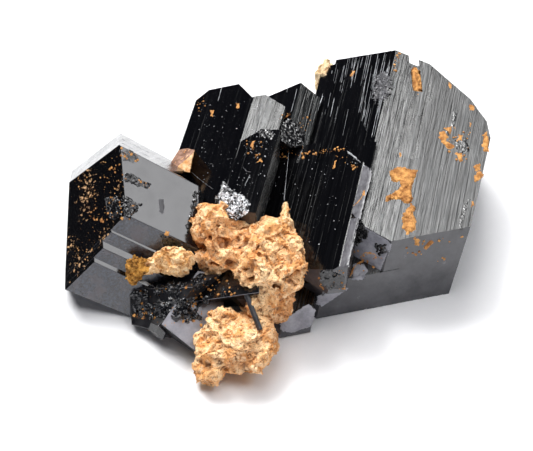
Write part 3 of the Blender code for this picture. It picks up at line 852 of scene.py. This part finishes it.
# The needle: a thin black prism that lies across the gap between the two lumps of rock.
rocks = skin_of([bpy.data.objects[name] for name in ("centre_rock", "low_rock")])
NEEDLE_WIDE = 0.75
low_end = rocks.ray_cast(EYE, ray(260, 330))[0] or seen(260, 330, ground(6.0))
high_end = rocks.ray_cast(EYE, ray(247, 296))[0] or seen(247, 303, ground(7.0))
lie = (high_end - low_end).normalized()
facing = (UP - lie * UP.dot(lie)).normalized()
aside = lie.cross(facing)
needle_faces = [(lie, high_end + lie * 0.3), (-lie, low_end)]
for index in range(6):
    angle = math.radians(60.0 * index + 12.0)
    out = facing * math.cos(angle) + aside * math.sin(angle)
    needle_faces.append((out, (high_end + low_end) * 0.5 + facing * 0.1 + out * NEEDLE_WIDE * 0.5))
crystal("needle", eased(flat_solid(needle_faces), 0.04), [point_schorl])

# Orange and ochre crusts: earthy iron oxide that settled on the black faces and filled gaps
# between the crystals. It is soft, granular and quite matt.


def iron_crust(name, bright, dark):
    """Limonite, settled as an earthy crust: matt orange grains with darker pores."""
    made, tree, shader, place = mineral(name, 1.5)
    cloud = clouds(tree, place, 900.0, 5.0, 0.7)
    shade = ramp(tree, cloud, 0.4, 0.62)
    tint = blend(tree, shade, dark, bright)
    # Grains of 0.1 to 0.2 mm.
    grain = clouds(tree, place, 5200.0, 3.0)
    bump = bumps(tree, grain, 0.8, 0.12)
    surface(tree, shader, tint, 0.85, bump)
    return made


orange_crust = iron_crust("limonite_orange_crust", "#d69c58", "#8f5a26")
ochre_crust = iron_crust("limonite_ochre_crust", "#ffe0b0", "#d39c5c")
golden_crust = iron_crust("limonite_golden_tail_of_the_crust", "#d69c44", "#7d5115")
TAIL_END = -17.0


def crust_finish(face):
    """The crust's low left tail is darker and golden, and runs into the rest without an edge."""
    middle = face.calc_center_median() / MM - SHIFT
    return 1 if middle.x + 1.6 * noise.noise(middle * 1.1) < TAIL_END else 0


ochre_lumps = grainy(rough_balls([
    ((-13.0, -7.3, 9.4), (3.1, 1.5, 2.5), 7, 0.2, -27.0),
    ((-16.4, -7.6, 8.6), (2.4, 1.3, 1.3), 8, 0.2, -27.0),
    ((-18.8, -8.1, 8.0), (1.3, 1.2, 2.3), 12, 0.2, -27.0),
], 0.13), 0.45, 0.2, 21.0, 0.3, (
    (145, 266, 0.7, 1.2), (152, 278, 0.9, 1.4), (188, 256, 0.5, 0.7), (181, 268, 0.4, 0.5),
    (160, 252, 0.4, 0.4),
))
shown(
    "ochre_crust_lumps", ochre_lumps, [ochre_crust, golden_crust], "ochre", ["ochre_crust"], crust_finish,
)
pink_crust = iron_crust("limonite_pinkish_broken_face", "#ab8572", "#6f4d3b")
wedge_crust = iron_crust("limonite_pale_orange_broken_face", "#ffdcae", "#dc9c5e")
WEDGE_RIDGE = seen(186, 159, ground(9.0))
WEDGE_LEFT = facet((-0.25, 0.2, 0.95), WEDGE_RIDGE)
WEDGE_RIGHT = facet((0.35, -0.3, 0.89), WEDGE_RIDGE)
wedge_rim = [(179, 150), (187, 148), (195, 150), (190, 173), (180, 171), (170, 163)]
wedge = flat_solid([WEDGE_LEFT, WEDGE_RIGHT, ground(5.2)] + [
    (ray(*last).cross(ray(*first)).normalized(), EYE)
    for first, last in zip(wedge_rim, wedge_rim[1:] + wedge_rim[:1])
])
wedge = worked(solid_object("wedge", wedge), "REMESH", mode="VOXEL", voxel_size=0.12)
wedge = grainy(wedge, 0.5, 0.05, 31.0, 0.1)


def wedge_finish(face):
    """Pale right slope, pinkish left slope, orange sides."""
    if face.normal.z < 0.5:
        return 2
    return 1 if face.normal.dot(WEDGE_LEFT[0]) > face.normal.dot(WEDGE_RIGHT[0]) else 0


shown(
    "orange_lump", wedge, [wedge_crust, pink_crust, orange_crust], "ochre", ["orange_block"],
    wedge_finish,
)
filling = grainy(rough_balls([((23.0, 24.6, 11.2), (0.9, 4.1, 1.2), 13, 0.2)], 0.12), 0.6, 0.14, 41.0)
shown("slot_crust", filling, [orange_crust], "ochre", ["slot_filling"])

# The cream grains: a small knot of pale quartz and feldspar grains behind the middle crystals.
cream = feldspar("cream_quartz_grains_broken", "#e9d4ae", "#dbc194", "#b3935f", 0.4)
grains = grainy(rough_balls([((9.6, 34.0, 3.2), (1.9, 2.7, 2.9), 10, 0.2)], 0.14), 0.9, 0.3, 51.0, 0.3)
shown("cream_grain_knot", grains, [cream], "cream", ["cream_grains"])

# Stains and scars on the crystals: small crusts of iron oxide, crumbs of quartz, etched and broken
# spots and bright edges; the nearly white colour of the crumbs and edges is painted highlight. Each is a
# thin skin or a row of grains that is rooted in the face under it.


def struck(x, y):
    """Crystal face under one pixel of the photo, as a normal and a point."""
    place, normal = crystals.ray_cast(EYE, ray(x, y))[:2]
    return normal, place


def face_under(outline, face):
    """The face that is given, or the crystal face under the middle of an outline."""
    if face:
        return face
    x = sum(corner[0] for corner in outline) / len(outline)
    y = sum(corner[1] for corner in outline) / len(outline)
    return struck(x, y)


def inside_by(point, corners):
    """How far a point of a face is inside an outline, or outside it as a negative number."""
    near, odd = 1e9, False
    for (ax, ay), (bx, by) in zip(corners, corners[1:] + corners[:1]):
        dx, dy = bx - ax, by - ay
        part = max(0.0, min(1.0, ((point[0] - ax) * dx + (point[1] - ay) * dy) / (dx * dx + dy * dy)))
        near = min(near, math.hypot(point[0] - ax - part * dx, point[1] - ay - part * dy))
        if (ay > point[1]) != (by > point[1]) and point[0] < ax + (point[1] - ay) * dx / dy:
            odd = not odd
    return near if odd else -near


def skin_patch(shape, outline, high, ragged, pitch, crag, seed, face=None, grain=0.7):
    """Thin crust with a ragged edge: high at its middle, run down into the face at its edge."""
    normal, through = face_under(outline, face)
    along = (BACK - normal * normal.dot(BACK)).normalized()
    across = normal.cross(along)
    places = [seen(x, y, (normal, through)) - through for x, y in outline]
    corners = [(place.dot(along), place.dot(across)) for place in places]
    low = [min(corner[axis] for corner in corners) - ragged for axis in (0, 1)]
    top = [max(corner[axis] for corner in corners) + ragged for axis in (0, 1)]
    counts = [int((top[axis] - low[axis]) / pitch) + 2 for axis in (0, 1)]
    grid = {}
    for first in range(counts[0]):
        for second in range(counts[1]):
            at = (low[0] + first * pitch, low[1] + second * pitch)
            place = through + along * at[0] + across * at[1]
            wave = noise.fractal(place * 1.6 + Vector((seed, seed, 0.0)), 0.8, 2.0, 4)
            depth = inside_by(at, corners) + ragged * wave
            bump = noise.noise(place * 3.1 + Vector((0.0, seed, seed)))
            broken = shattered(place / grain, seed)
            rise = high * (1.0 + crag * (bump + broken)) * min(1.0, depth / 0.25) if depth > 0.0 else -0.06
            shift = along * (bump * pitch * 0.5) + across * (wave * pitch * 0.5)
            grid[first, second] = (shape.verts.new(place + shift + normal * max(rise, -0.06)), depth)
    for first in range(counts[0] - 1):
        for second in range(counts[1] - 1):
            ring = [grid[first + up, second + on] for up, on in ((0, 0), (1, 0), (1, 1), (0, 1))]
            if max(depth for vert, depth in ring) > 0.0:
                shape.faces.new([vert for vert, depth in ring])
    bmesh.ops.delete(shape, geom=[vert for vert in shape.verts if not vert.link_faces], context="VERTS")


def thin_line(shape, points, wide, high, seed, face=None):
    """Low ridge along a line on a face, such as the bright edge of a growth step or a vein."""
    pick = random.Random(seed)
    normal, through = face_under(points, face)
    places = [seen(x, y, (normal, through)) for x, y in points]
    path = []
    for start, stop in zip(places, places[1:]):
        count = max(1, int((stop - start).length / 0.35))
        path += [start.lerp(stop, step / count) for step in range(count)]
    path.append(places[-1])
    rows = []
    for index, place in enumerate(path):
        ahead = path[min(index + 1, len(path) - 1)] - path[max(index - 1, 0)]
        aside = normal.cross(ahead).normalized()
        taper = min(1.0, 0.25 + 0.5 * min(index, len(path) - 1 - index))
        half = 0.5 * wide * taper * pick.uniform(0.6, 1.25)
        middle = place + aside * pick.uniform(-0.2, 0.2) * wide
        rows.append([
            shape.verts.new(middle - aside * half - normal * 0.05),
            shape.verts.new(middle + normal * high * pick.uniform(0.6, 1.2)),
            shape.verts.new(middle + aside * half - normal * 0.05),
        ])
    for near, far in zip(rows, rows[1:]):
        shape.faces.new((near[0], near[1], far[1], far[0]))
        shape.faces.new((near[1], near[2], far[2], far[1]))


def crumbs(shape, outline, count, small, big, seed, face=None, high=0.4):
    """Scattered grains, each a low broken cone rooted in the face."""
    pick = random.Random(seed)
    low_x, top_x = min(x for x, y in outline), max(x for x, y in outline)
    low_y, top_y = min(y for x, y in outline), max(y for x, y in outline)
    while count > 0:
        spot_px = (pick.uniform(low_x, top_x), pick.uniform(low_y, top_y))
        if inside_by(spot_px, list(outline)) < 0.0:
            continue
        count -= 1
        normal, through = face or struck(*spot_px)
        if not normal or normal.dot(ray(*spot_px)) > -0.2:
            continue
        along = normal.orthogonal().normalized()
        across = normal.cross(along)
        place = seen(spot_px[0], spot_px[1], (normal, through))
        size = small + (big - small) * pick.random() ** 2.2
        sides = pick.choice((4, 5, 6))
        turn = pick.uniform(0.0, 6.3)
        rings = []
        for reach, rise in ((0.55, -0.08), (0.42, high * 0.6)):
            ring = []
            for index in range(sides):
                angle = turn + 6.283 * index / sides
                long = size * reach * pick.uniform(0.6, 1.3)
                ring.append(shape.verts.new(
                    place + along * math.cos(angle) * long + across * math.sin(angle) * long
                    + normal * (rise * size if rise > 0.0 else -0.05)
                ))
            rings.append(ring)
        for index in range(sides):
            shape.faces.new((rings[0][index - 1], rings[0][index], rings[1][index], rings[1][index - 1]))
        shape.faces.new(rings[1])


def etched_schorl(name, dark, light, low, high):
    """Black tourmaline, etched or crushed: a dull skin of small facets between two greys; its dark greys are
    its own, its pale greys are painted reflection and painted highlight.
    """
    made, tree, shader, place = mineral(name, 1.65)
    facets = cells(tree, place, 2600.0)
    cloud = clouds(tree, place, 700.0, 5.0, 0.7)
    shade = ramp(tree, cloud, 0.35, 0.65)
    tint = blend(tree, shade, dark, light)
    rough = ramp(tree, cloud, 0.35, 0.65, low, high)
    bump = bumps(tree, facets["Distance"], 0.5, 0.06)
    surface(tree, shader, tint, rough, bump)
    return made


# Orange and yellow stain: earthy limonite in patches, veins and crumbs.
stain = bmesh.new()
for seed, (high, outline) in enumerate((
    (0.22, ((389, 171), (398, 167), (404, 167), (409, 170), (418, 170), (415, 178), (412, 185), (411, 193),
        (413, 200), (409, 204), (404, 203), (400, 200), (395, 199), (386, 201), (388, 196), (394, 192),
        (400, 188), (400, 182), (391, 181))),
    (0.2, ((411, 203), (416, 208), (413, 213), (416, 222), (415, 230), (408, 234), (403, 228), (402, 222),
        (404, 212), (408, 208))),
    (0.12, ((440, 133), (445, 131), (448, 137), (446, 141), (452, 143), (455, 148), (450, 150), (445, 146),
        (440, 141))),
    (0.12, ((446, 127), (452, 126), (450, 133), (446, 131))),
    (0.1, ((456, 152), (462, 152), (463, 161), (459, 162))),
    (0.1, ((458, 134), (463, 135), (462, 141), (458, 139))),
    (0.14, ((483, 133), (487, 131), (489, 139), (488, 151), (484, 152), (482, 143))),
    (0.1, ((473, 165), (480, 164), (479, 170), (475, 172))),
    (0.1, ((476, 172), (482, 171), (483, 176), (478, 182), (474, 182))),
    (0.08, ((471, 201), (474, 201), (475, 206), (471, 207))),
    (0.08, ((448, 82), (451, 83), (452, 90), (449, 89))),
    (0.08, ((469, 122), (472, 123), (472, 128), (469, 128))),
    (0.06, ((399, 153), (401, 153), (401, 158), (399, 158))),
    (0.1, ((468, 104), (474, 106), (475, 110), (470, 110))),
    (0.1, ((414, 238), (420, 240), (419, 246), (414, 245))),
    (0.1, ((423, 247), (430, 241), (436, 241), (430, 247), (426, 250))),
    (0.06, ((460, 236), (464, 234), (464, 237), (460, 238))),
    (0.06, ((413, 254), (418, 254), (417, 257))), (0.06, ((332, 170), (334, 161), (337, 160), (335, 168))),
    (0.06, ((363, 190), (367, 189), (365, 197), (362, 196))),
    (0.05, ((166, 231), (170, 232), (169, 236), (166, 235))),
    (0.06, ((210, 110), (214, 110), (213, 117), (210, 116))),
    (0.06, ((236, 103), (240, 103), (239, 108), (236, 108))),
    (0.06, ((252, 140), (255, 141), (253, 150), (251, 149))),
    (0.06, ((257, 158), (262, 158), (262, 162), (258, 162))),
    (0.06, ((352, 70), (356, 70), (352, 77), (350, 76))),
)):
    skin_patch(stain, outline, high, 0.22, 0.14, 0.5, seed * 7.1)
for seed, points in enumerate((
    ((350, 277), (354, 268), (362, 261), (366, 256)), ((360, 258), (366, 252), (374, 254), (380, 258)),
    ((353, 207), (359, 201), (363, 196)),
)):
    thin_line(stain, points, 0.45, 0.1, seed)
for count, outline in (
    (50, ((300, 152), (345, 146), (347, 151), (320, 154), (300, 160))),
    (22, ((278, 146), (304, 146), (300, 160), (276, 158))),
    (16, ((336, 156), (345, 156), (362, 170), (352, 170))),
    (30, ((440, 125), (470, 130), (472, 165), (452, 165))),
    (26, ((118, 146), (130, 148), (141, 158), (136, 162), (120, 157))),
    (16, ((122, 172), (150, 184), (149, 189), (123, 180))),
    (20, ((398, 52), (402, 54), (396, 72), (392, 70))),
    (14, ((300, 116), (312, 112), (310, 130), (300, 134))),
    (60, ((140, 288), (200, 284), (204, 322), (170, 328), (140, 318))),
    (44, ((178, 300), (204, 300), (204, 326), (180, 322))),
    (34, ((132, 304), (146, 303), (147, 318), (135, 320))),
    (40, ((318, 270), (346, 270), (346, 290), (320, 290))),
    (36, ((352, 250), (374, 246), (384, 262), (360, 274))),
    (20, ((196, 96), (206, 92), (206, 112), (198, 112))),
    (24, ((186, 254), (199, 254), (199, 270), (188, 270))),
    (18, ((404, 242), (450, 236), (448, 262), (408, 262))),
    (22, ((280, 114), (290, 112), (292, 128), (288, 138), (280, 134))),
    (16, ((246, 140), (262, 142), (266, 160), (246, 158))),
    (9, ((101, 217), (108, 217), (108, 224), (101, 224))),
    (8, ((90, 211), (98, 213), (97, 221), (91, 219))),
    (12, ((106, 198), (118, 196), (118, 203), (108, 205))),
    (10, ((108, 166), (120, 164), (120, 172), (110, 174))),
    (26, ((106, 200), (136, 204), (130, 220), (108, 218))),
    (30, ((196, 272), (240, 284), (236, 298), (200, 298))),
):
    crumbs(stain, outline, count, 0.1, 0.5, count)
shown("iron_stain", stain, [orange_crust], "ochre")

# Gold-brown specks on the black face of the stout crystal, where iron sits in its etch pits.
gold_crust = iron_crust("limonite_gold_specks", "#e0aa68", "#96602c")
gold = bmesh.new()
for seed, (count, small, big, outline) in enumerate((
    (30, 0.05, 0.28, ((102, 150), (116, 154), (122, 170), (123, 196), (104, 196), (98, 172))),
    (20, 0.05, 0.24, ((77, 172), (88, 170), (99, 200), (90, 206), (78, 188))),
    (26, 0.05, 0.3, ((86, 204), (108, 206), (110, 224), (92, 228))),
    (44, 0.05, 0.24, ((70, 240), (100, 226), (104, 238), (88, 258), (72, 266))),
    (24, 0.04, 0.16, ((70, 184), (118, 150), (123, 200), (70, 266))),
), 3):
    crumbs(gold, outline, count, small, big, seed, F1)
shown("gold_specks", gold, [gold_crust], "ochre")

# Crushed and etched black spots, and pits: rough ground that drinks the light.
pitted_schorl = etched_schorl("black_tourmaline_crushed_pits", "#030304", "#0d0d10", 0.1, 0.35)
pits = bmesh.new()
for seed, (high, outline) in enumerate((
    (0.05, ((443, 131), (449, 130), (450, 136), (444, 137))),
    (0.04, ((453, 112), (457, 113), (454, 128), (450, 128))),
    (0.05, ((459, 140), (466, 138), (470, 150), (464, 155), (460, 152))),
    (0.04, ((455, 141), (458, 139), (460, 146), (457, 150))),
    (0.04, ((467, 198), (470, 199), (462, 228), (457, 229))),
    (0.08, ((124, 197), (128, 199), (138, 206), (138, 212), (130, 218), (126, 216))),
    (0.03, ((122, 151), (129, 150), (141, 159), (138, 163), (128, 162), (123, 159))),
    (0.05, ((124, 171), (135, 175), (151, 184), (149, 189), (136, 186), (124, 181))),
    (0.04, ((125, 196), (130, 198), (142, 204), (141, 207), (130, 202), (125, 199))),
    (0.1, ((193, 190), (198, 192), (197, 215), (192, 222), (188, 236), (186, 228), (191, 210))),
    (0.05, ((158, 232), (197, 250), (165, 248))),
    (0.15, ((258, 130), (266, 129), (275, 133), (272, 139), (260, 138))),
    (0.1, ((281, 126), (290, 118), (300, 126), (306, 134), (304, 144), (290, 147), (282, 140))),
    (0.1, ((352, 214), (360, 222), (369, 231), (368, 240), (361, 243), (357, 248), (353, 240), (351, 228))),
    (0.1, ((375, 242), (388, 244), (387, 254), (380, 256), (375, 251))),
    (0.1, ((320, 272), (332, 270), (345, 276), (343, 288), (330, 290), (322, 284))),
)):
    skin_patch(pits, outline, high, 0.25, 0.16, 0.9, 90.0 + seed * 3.3)
skin_patch(
    pits, ((105, 198), (117, 196), (119, 201), (120, 213), (116, 220), (107, 216)),
    0.08, 0.2, 0.16, 0.9, 149.0, F1,
)
crystal("crushed_spots", pits, [pitted_schorl])

# The crinkled patch behind the rock: a silvery skin of mica, creased like foil; its bright and dark creases
# are partly painted reflection.
foil, tree, shader, place = mineral("silver_mica_crinkled_flake", 1.6)
# Creases are 0.3 to 0.8 mm apart.
crease = clouds(tree, place, 1500.0, 5.0, 0.7, 1.2)
shade = ramp(tree, crease, 0.45, 0.56)
# Painted reflection: the colour runs from black to near white with the creases, standing in for light the
# folds mirror; the gloss and the folds themselves are real.
tint = blend(tree, shade, "#0c0c0e", "#f2f3f6")
shader.inputs["Metallic"].default_value = 0.6
folds = bumps(tree, crease, 1.0, 0.2)
surface(tree, shader, tint, 0.25, folds)
flake = bmesh.new()
skin_patch(flake, (
    (224, 182), (231, 190), (243, 195), (250, 205), (247, 213), (236, 219), (228, 215), (222, 207),
    (215, 203), (219, 193),
), 0.3, 0.12, 0.12, 0.9, 71.0, None, 0.5)
crystal("mica_flake", flake, [foil])

# Satin faces: etched steps with a dull dark grey skin. The pale greys of the point faces and the strip
# beside them are painted reflection of the lit table and lights, paler still where those faces lie in shade.
satin_schorl = etched_schorl("black_tourmaline_satin_etched_face", "#222126", "#323137", 0.32, 0.5)
# Painted reflection: these two greys stand in for the light the point faces mirror; the paler one goes on
# the faces that lie in shade.
painted_reflection_point = etched_schorl("black_tourmaline_painted_reflection_point", "#403f44", "#59585e", 0.3, 0.5)
painted_reflection_under = etched_schorl("black_tourmaline_painted_reflection_on_shaded_point", "#717178", "#9a9aa2", 0.3, 0.5)
for name, material, patches in (
    ("satin_edge_strip", painted_reflection_point, (
        (((363, 164), (370, 168), (371, 176), (358, 222), (351, 250), (348, 266), (339, 268)),
         0.03, 0.05, 0.2, 0.2, 200.0),
    )),
    ("satin_point_face", painted_reflection_under, (
        (((357, 223), (370, 230), (388, 240), (391, 245), (386, 258), (380, 273), (350, 269), (351, 236)),
         0.04, 0.05, 0.16, 0.3, 205.0),
        (((353, 263), (364, 264), (369, 271), (362, 279), (352, 279)), 0.08, 0.1, 0.14, 0.8, 207.0),
        (((318, 297), (344, 285), (349, 289), (322, 307), (317, 304)), 0.02, 0.1, 0.16, 0.2, 209.0),
        (((281, 321), (309, 305), (315, 311), (311, 327), (292, 333), (282, 332)),
         0.02, 0.15, 0.16, 0.2, 211.0),
    )),
    ("satin_steps", satin_schorl, (
        (((375, 73), (387, 72), (390, 82), (386, 98), (378, 104), (373, 98), (373, 84)),
         0.04, 0.7, 0.12, 1.6, 231.0, None, 0.35),
        (((160, 198), (164, 199), (165, 208), (163, 215), (159, 212), (158, 204)),
         0.01, 0.1, 0.12, 0.5, 239.0, F2),
    )),
):
    satin = bmesh.new()
    for patch in patches:
        skin_patch(satin, *patch)
    crystal(name, satin, [material])

# Bright edges: crushed lines and chips whose nearly white colour is painted highlight, standing in for the
# light that the edges catch.
# Painted highlight: this pale grey to near white stands in for glints of the lights on edges, streaks and
# crumbs.
painted_glint_schorl = etched_schorl("black_tourmaline_crushed_edge_painted_glint", "#8f9296", "#d4d6da", 0.2, 0.45)
glints = bmesh.new()
for seed, (wide, points) in enumerate((
    (0.26, ((347, 151), (353, 156), (361, 163), (368, 169))), (0.12, ((357, 57), (352, 76))),
    (0.10, ((363, 57), (360, 68))),
    (0.12, ((371, 55), (367, 74), (363, 92))), (0.12, ((378, 54), (372, 90))),
    (0.10, ((385, 53), (380, 74))),
    (0.08, ((344, 66), (340, 82))), (0.08, ((331, 72), (322, 98), (312, 128))),
    (0.08, ((390, 66), (381, 100))),
    (0.16, ((222, 87), (218, 101))), (0.16, ((288, 86), (287, 92))),
    (0.12, ((297, 89), (294, 101), (291, 112))),
    (0.12, ((243, 167), (246, 171), (251, 172))), (0.10, ((289, 150), (284, 200))),
    (0.10, ((250, 175), (245, 185))),
    (0.10, ((191, 172), (202, 181), (214, 190))), (0.28, ((183, 299), (193, 298), (204, 298))),
    (0.10, ((396, 78), (378, 150))),
)):
    thin_line(glints, points, wide, 0.05, seed)
for seed, points in enumerate((
    ((122, 173), (136, 178), (150, 186)), ((123, 177), (134, 181), (144, 186)), ((122, 180), (134, 185)),
    ((121, 151), (130, 154), (138, 161)), ((122, 155), (131, 160)), ((76, 174), (92, 160), (108, 147)),
    ((88, 160), (100, 150), (112, 140)), ((122, 139), (136, 146), (150, 153)),
    ((122, 143), (136, 150), (150, 157)),
)):
    thin_line(glints, points, 0.1, 0.03, 400 + seed)
# Painted highlight streaks on the large prism's slope, along its length, densest at its right edge and back
# end.
STREAKS, STREAK_TOP, STREAK_SLOPE = 54, 54.0, 0.207
pick = random.Random(77)
for index in range(STREAKS):
    reach = pick.random() ** 0.6
    x, y = 330.0 + 62.0 * reach, STREAK_TOP + pick.random() ** 1.8 * 60.0
    long = pick.uniform(6.0, 34.0) * (0.4 + 0.8 * reach)
    ends = [(x - STREAK_SLOPE * (down - STREAK_TOP), down) for down in (y, y + long)]
    thin_line(glints, ends, pick.choice((0.04, 0.06, 0.1)), 0.03, 300 + index, P0)
for count, outline in (
    (80, ((106, 198), (124, 196), (137, 205), (130, 220), (108, 219))),
    (10, ((118, 148), (128, 148), (134, 156), (122, 156))),
    (16, ((346, 144), (352, 150), (366, 166), (356, 166), (346, 156))),
    (10, ((360, 246), (368, 246), (366, 254), (361, 254))),
    (12, ((256, 131), (274, 131), (270, 138), (258, 138))),
    (90, ((373, 74), (390, 74), (388, 102), (373, 102))),
    (10, ((250, 104), (262, 104), (258, 110), (252, 110))),
    (12, ((412, 64), (420, 64), (418, 80), (411, 80))),
    (16, ((198, 274), (240, 284), (236, 298), (200, 298))),
    (120, ((200, 140), (290, 140), (284, 205), (215, 190), (198, 180))),
    (40, ((196, 104), (245, 100), (240, 140), (196, 140))),
    (60, ((250, 128), (284, 130), (280, 160), (248, 160))),
    (50, ((290, 150), (350, 155), (340, 250), (296, 240))),
):
    crumbs(glints, outline, count, 0.04, 0.2, count + 50)
crystal("bright_edges", glints, [painted_glint_schorl])

# The room: a pale paper table, a soft light behind the cluster, one high at the right and one
# overhead, a low white card in front, a soft key light from the back left, and dim surroundings
# that the black faces mirror.
TABLE_HALF = 3.0
floor_shape = bmesh.new()
bmesh.ops.create_grid(floor_shape, x_segments=1, y_segments=1, size=TABLE_HALF)
floor = solid_object("table", floor_shape)
paper, tree, shader, place = mineral("white_paper_matt", 1.45)
fibre = clouds(tree, place, 900.0, 3.0)
pale = blend(tree, fibre, "#f4f4f6", "#f7f7f8")
tree.links.new(pale, shader.inputs["Base Color"])
shader.inputs["Roughness"].default_value = 1.0
shader.inputs["Specular IOR Level"].default_value = 0.1
floor.data.materials.append(paper)


def from_side(azimuth, elevation):
    """Direction to a light: azimuth from the back (+Y) to the right, elevation above the table."""
    turn, rise = math.radians(azimuth), math.radians(elevation)
    return Vector((math.sin(turn) * math.cos(rise), math.cos(turn) * math.cos(rise), math.sin(rise)))


def panel(name, azimuth, elevation, far, size, radiance, colour):
    """Flat soft light of even brightness, facing the cluster; sizes in metres."""
    data = bpy.data.lights.new(name, "AREA")
    data.shape = "RECTANGLE"
    data.size, data.size_y = size
    data.energy = radiance * math.pi * size[0] * size[1]
    data.color = colour
    made = bpy.data.objects.new(name, data)
    bpy.context.scene.collection.objects.link(made)
    made.location = from_side(azimuth, elevation) * far
    made.rotation_euler = (-made.location).to_track_quat("-Z", "Y").to_euler()
    made.visible_camera = False


panel("back_softbox", -10.0, 51.0, 0.45, (0.26, 0.17), 11.5, (1.0, 1.0, 0.99))
panel("right_softbox", 103.0, 60.0, 0.45, (0.18, 0.18), 5.3, (0.98, 0.98, 1.0))
panel("top_softbox", -20.0, 80.0, 0.5, (0.36, 0.3), 3.6, (1.0, 1.0, 1.0))
panel("front_card", 180.0, 6.0, 0.5, (0.7, 0.10), 3.6, (0.96, 0.95, 1.0))
data = bpy.data.lights.new("key_light", "SUN")
data.energy = 2.1
data.angle = math.radians(20.0)
key = bpy.data.objects.new("key_light", data)
bpy.context.scene.collection.objects.link(key)
key.rotation_euler = (-from_side(-38.0, 50.0)).to_track_quat("-Z", "Y").to_euler()
world = bpy.data.worlds.new("dim_room")
bpy.context.scene.world = world
world.use_nodes = True
world.node_tree.nodes["Background"].inputs["Color"].default_value = (0.02, 0.022, 0.03, 1.0)
lens = bpy.data.cameras.new("camera")
lens.sensor_fit = "HORIZONTAL"
lens.sensor_width = 36.0
lens.lens = lens.sensor_width * PIXELS_LONG / PHOTO_WIDE
lens.clip_start = 0.005
lens.clip_end = 20.0
camera = bpy.data.objects.new("camera", lens)
bpy.context.scene.collection.objects.link(camera)
camera.location = (EYE + SHIFT) * MM
camera.rotation_euler = (-EYE_BACK).to_track_quat("-Z", "Y").to_euler()
bpy.context.scene.camera = camera
bpy.context.scene.view_settings.view_transform = "Standard"
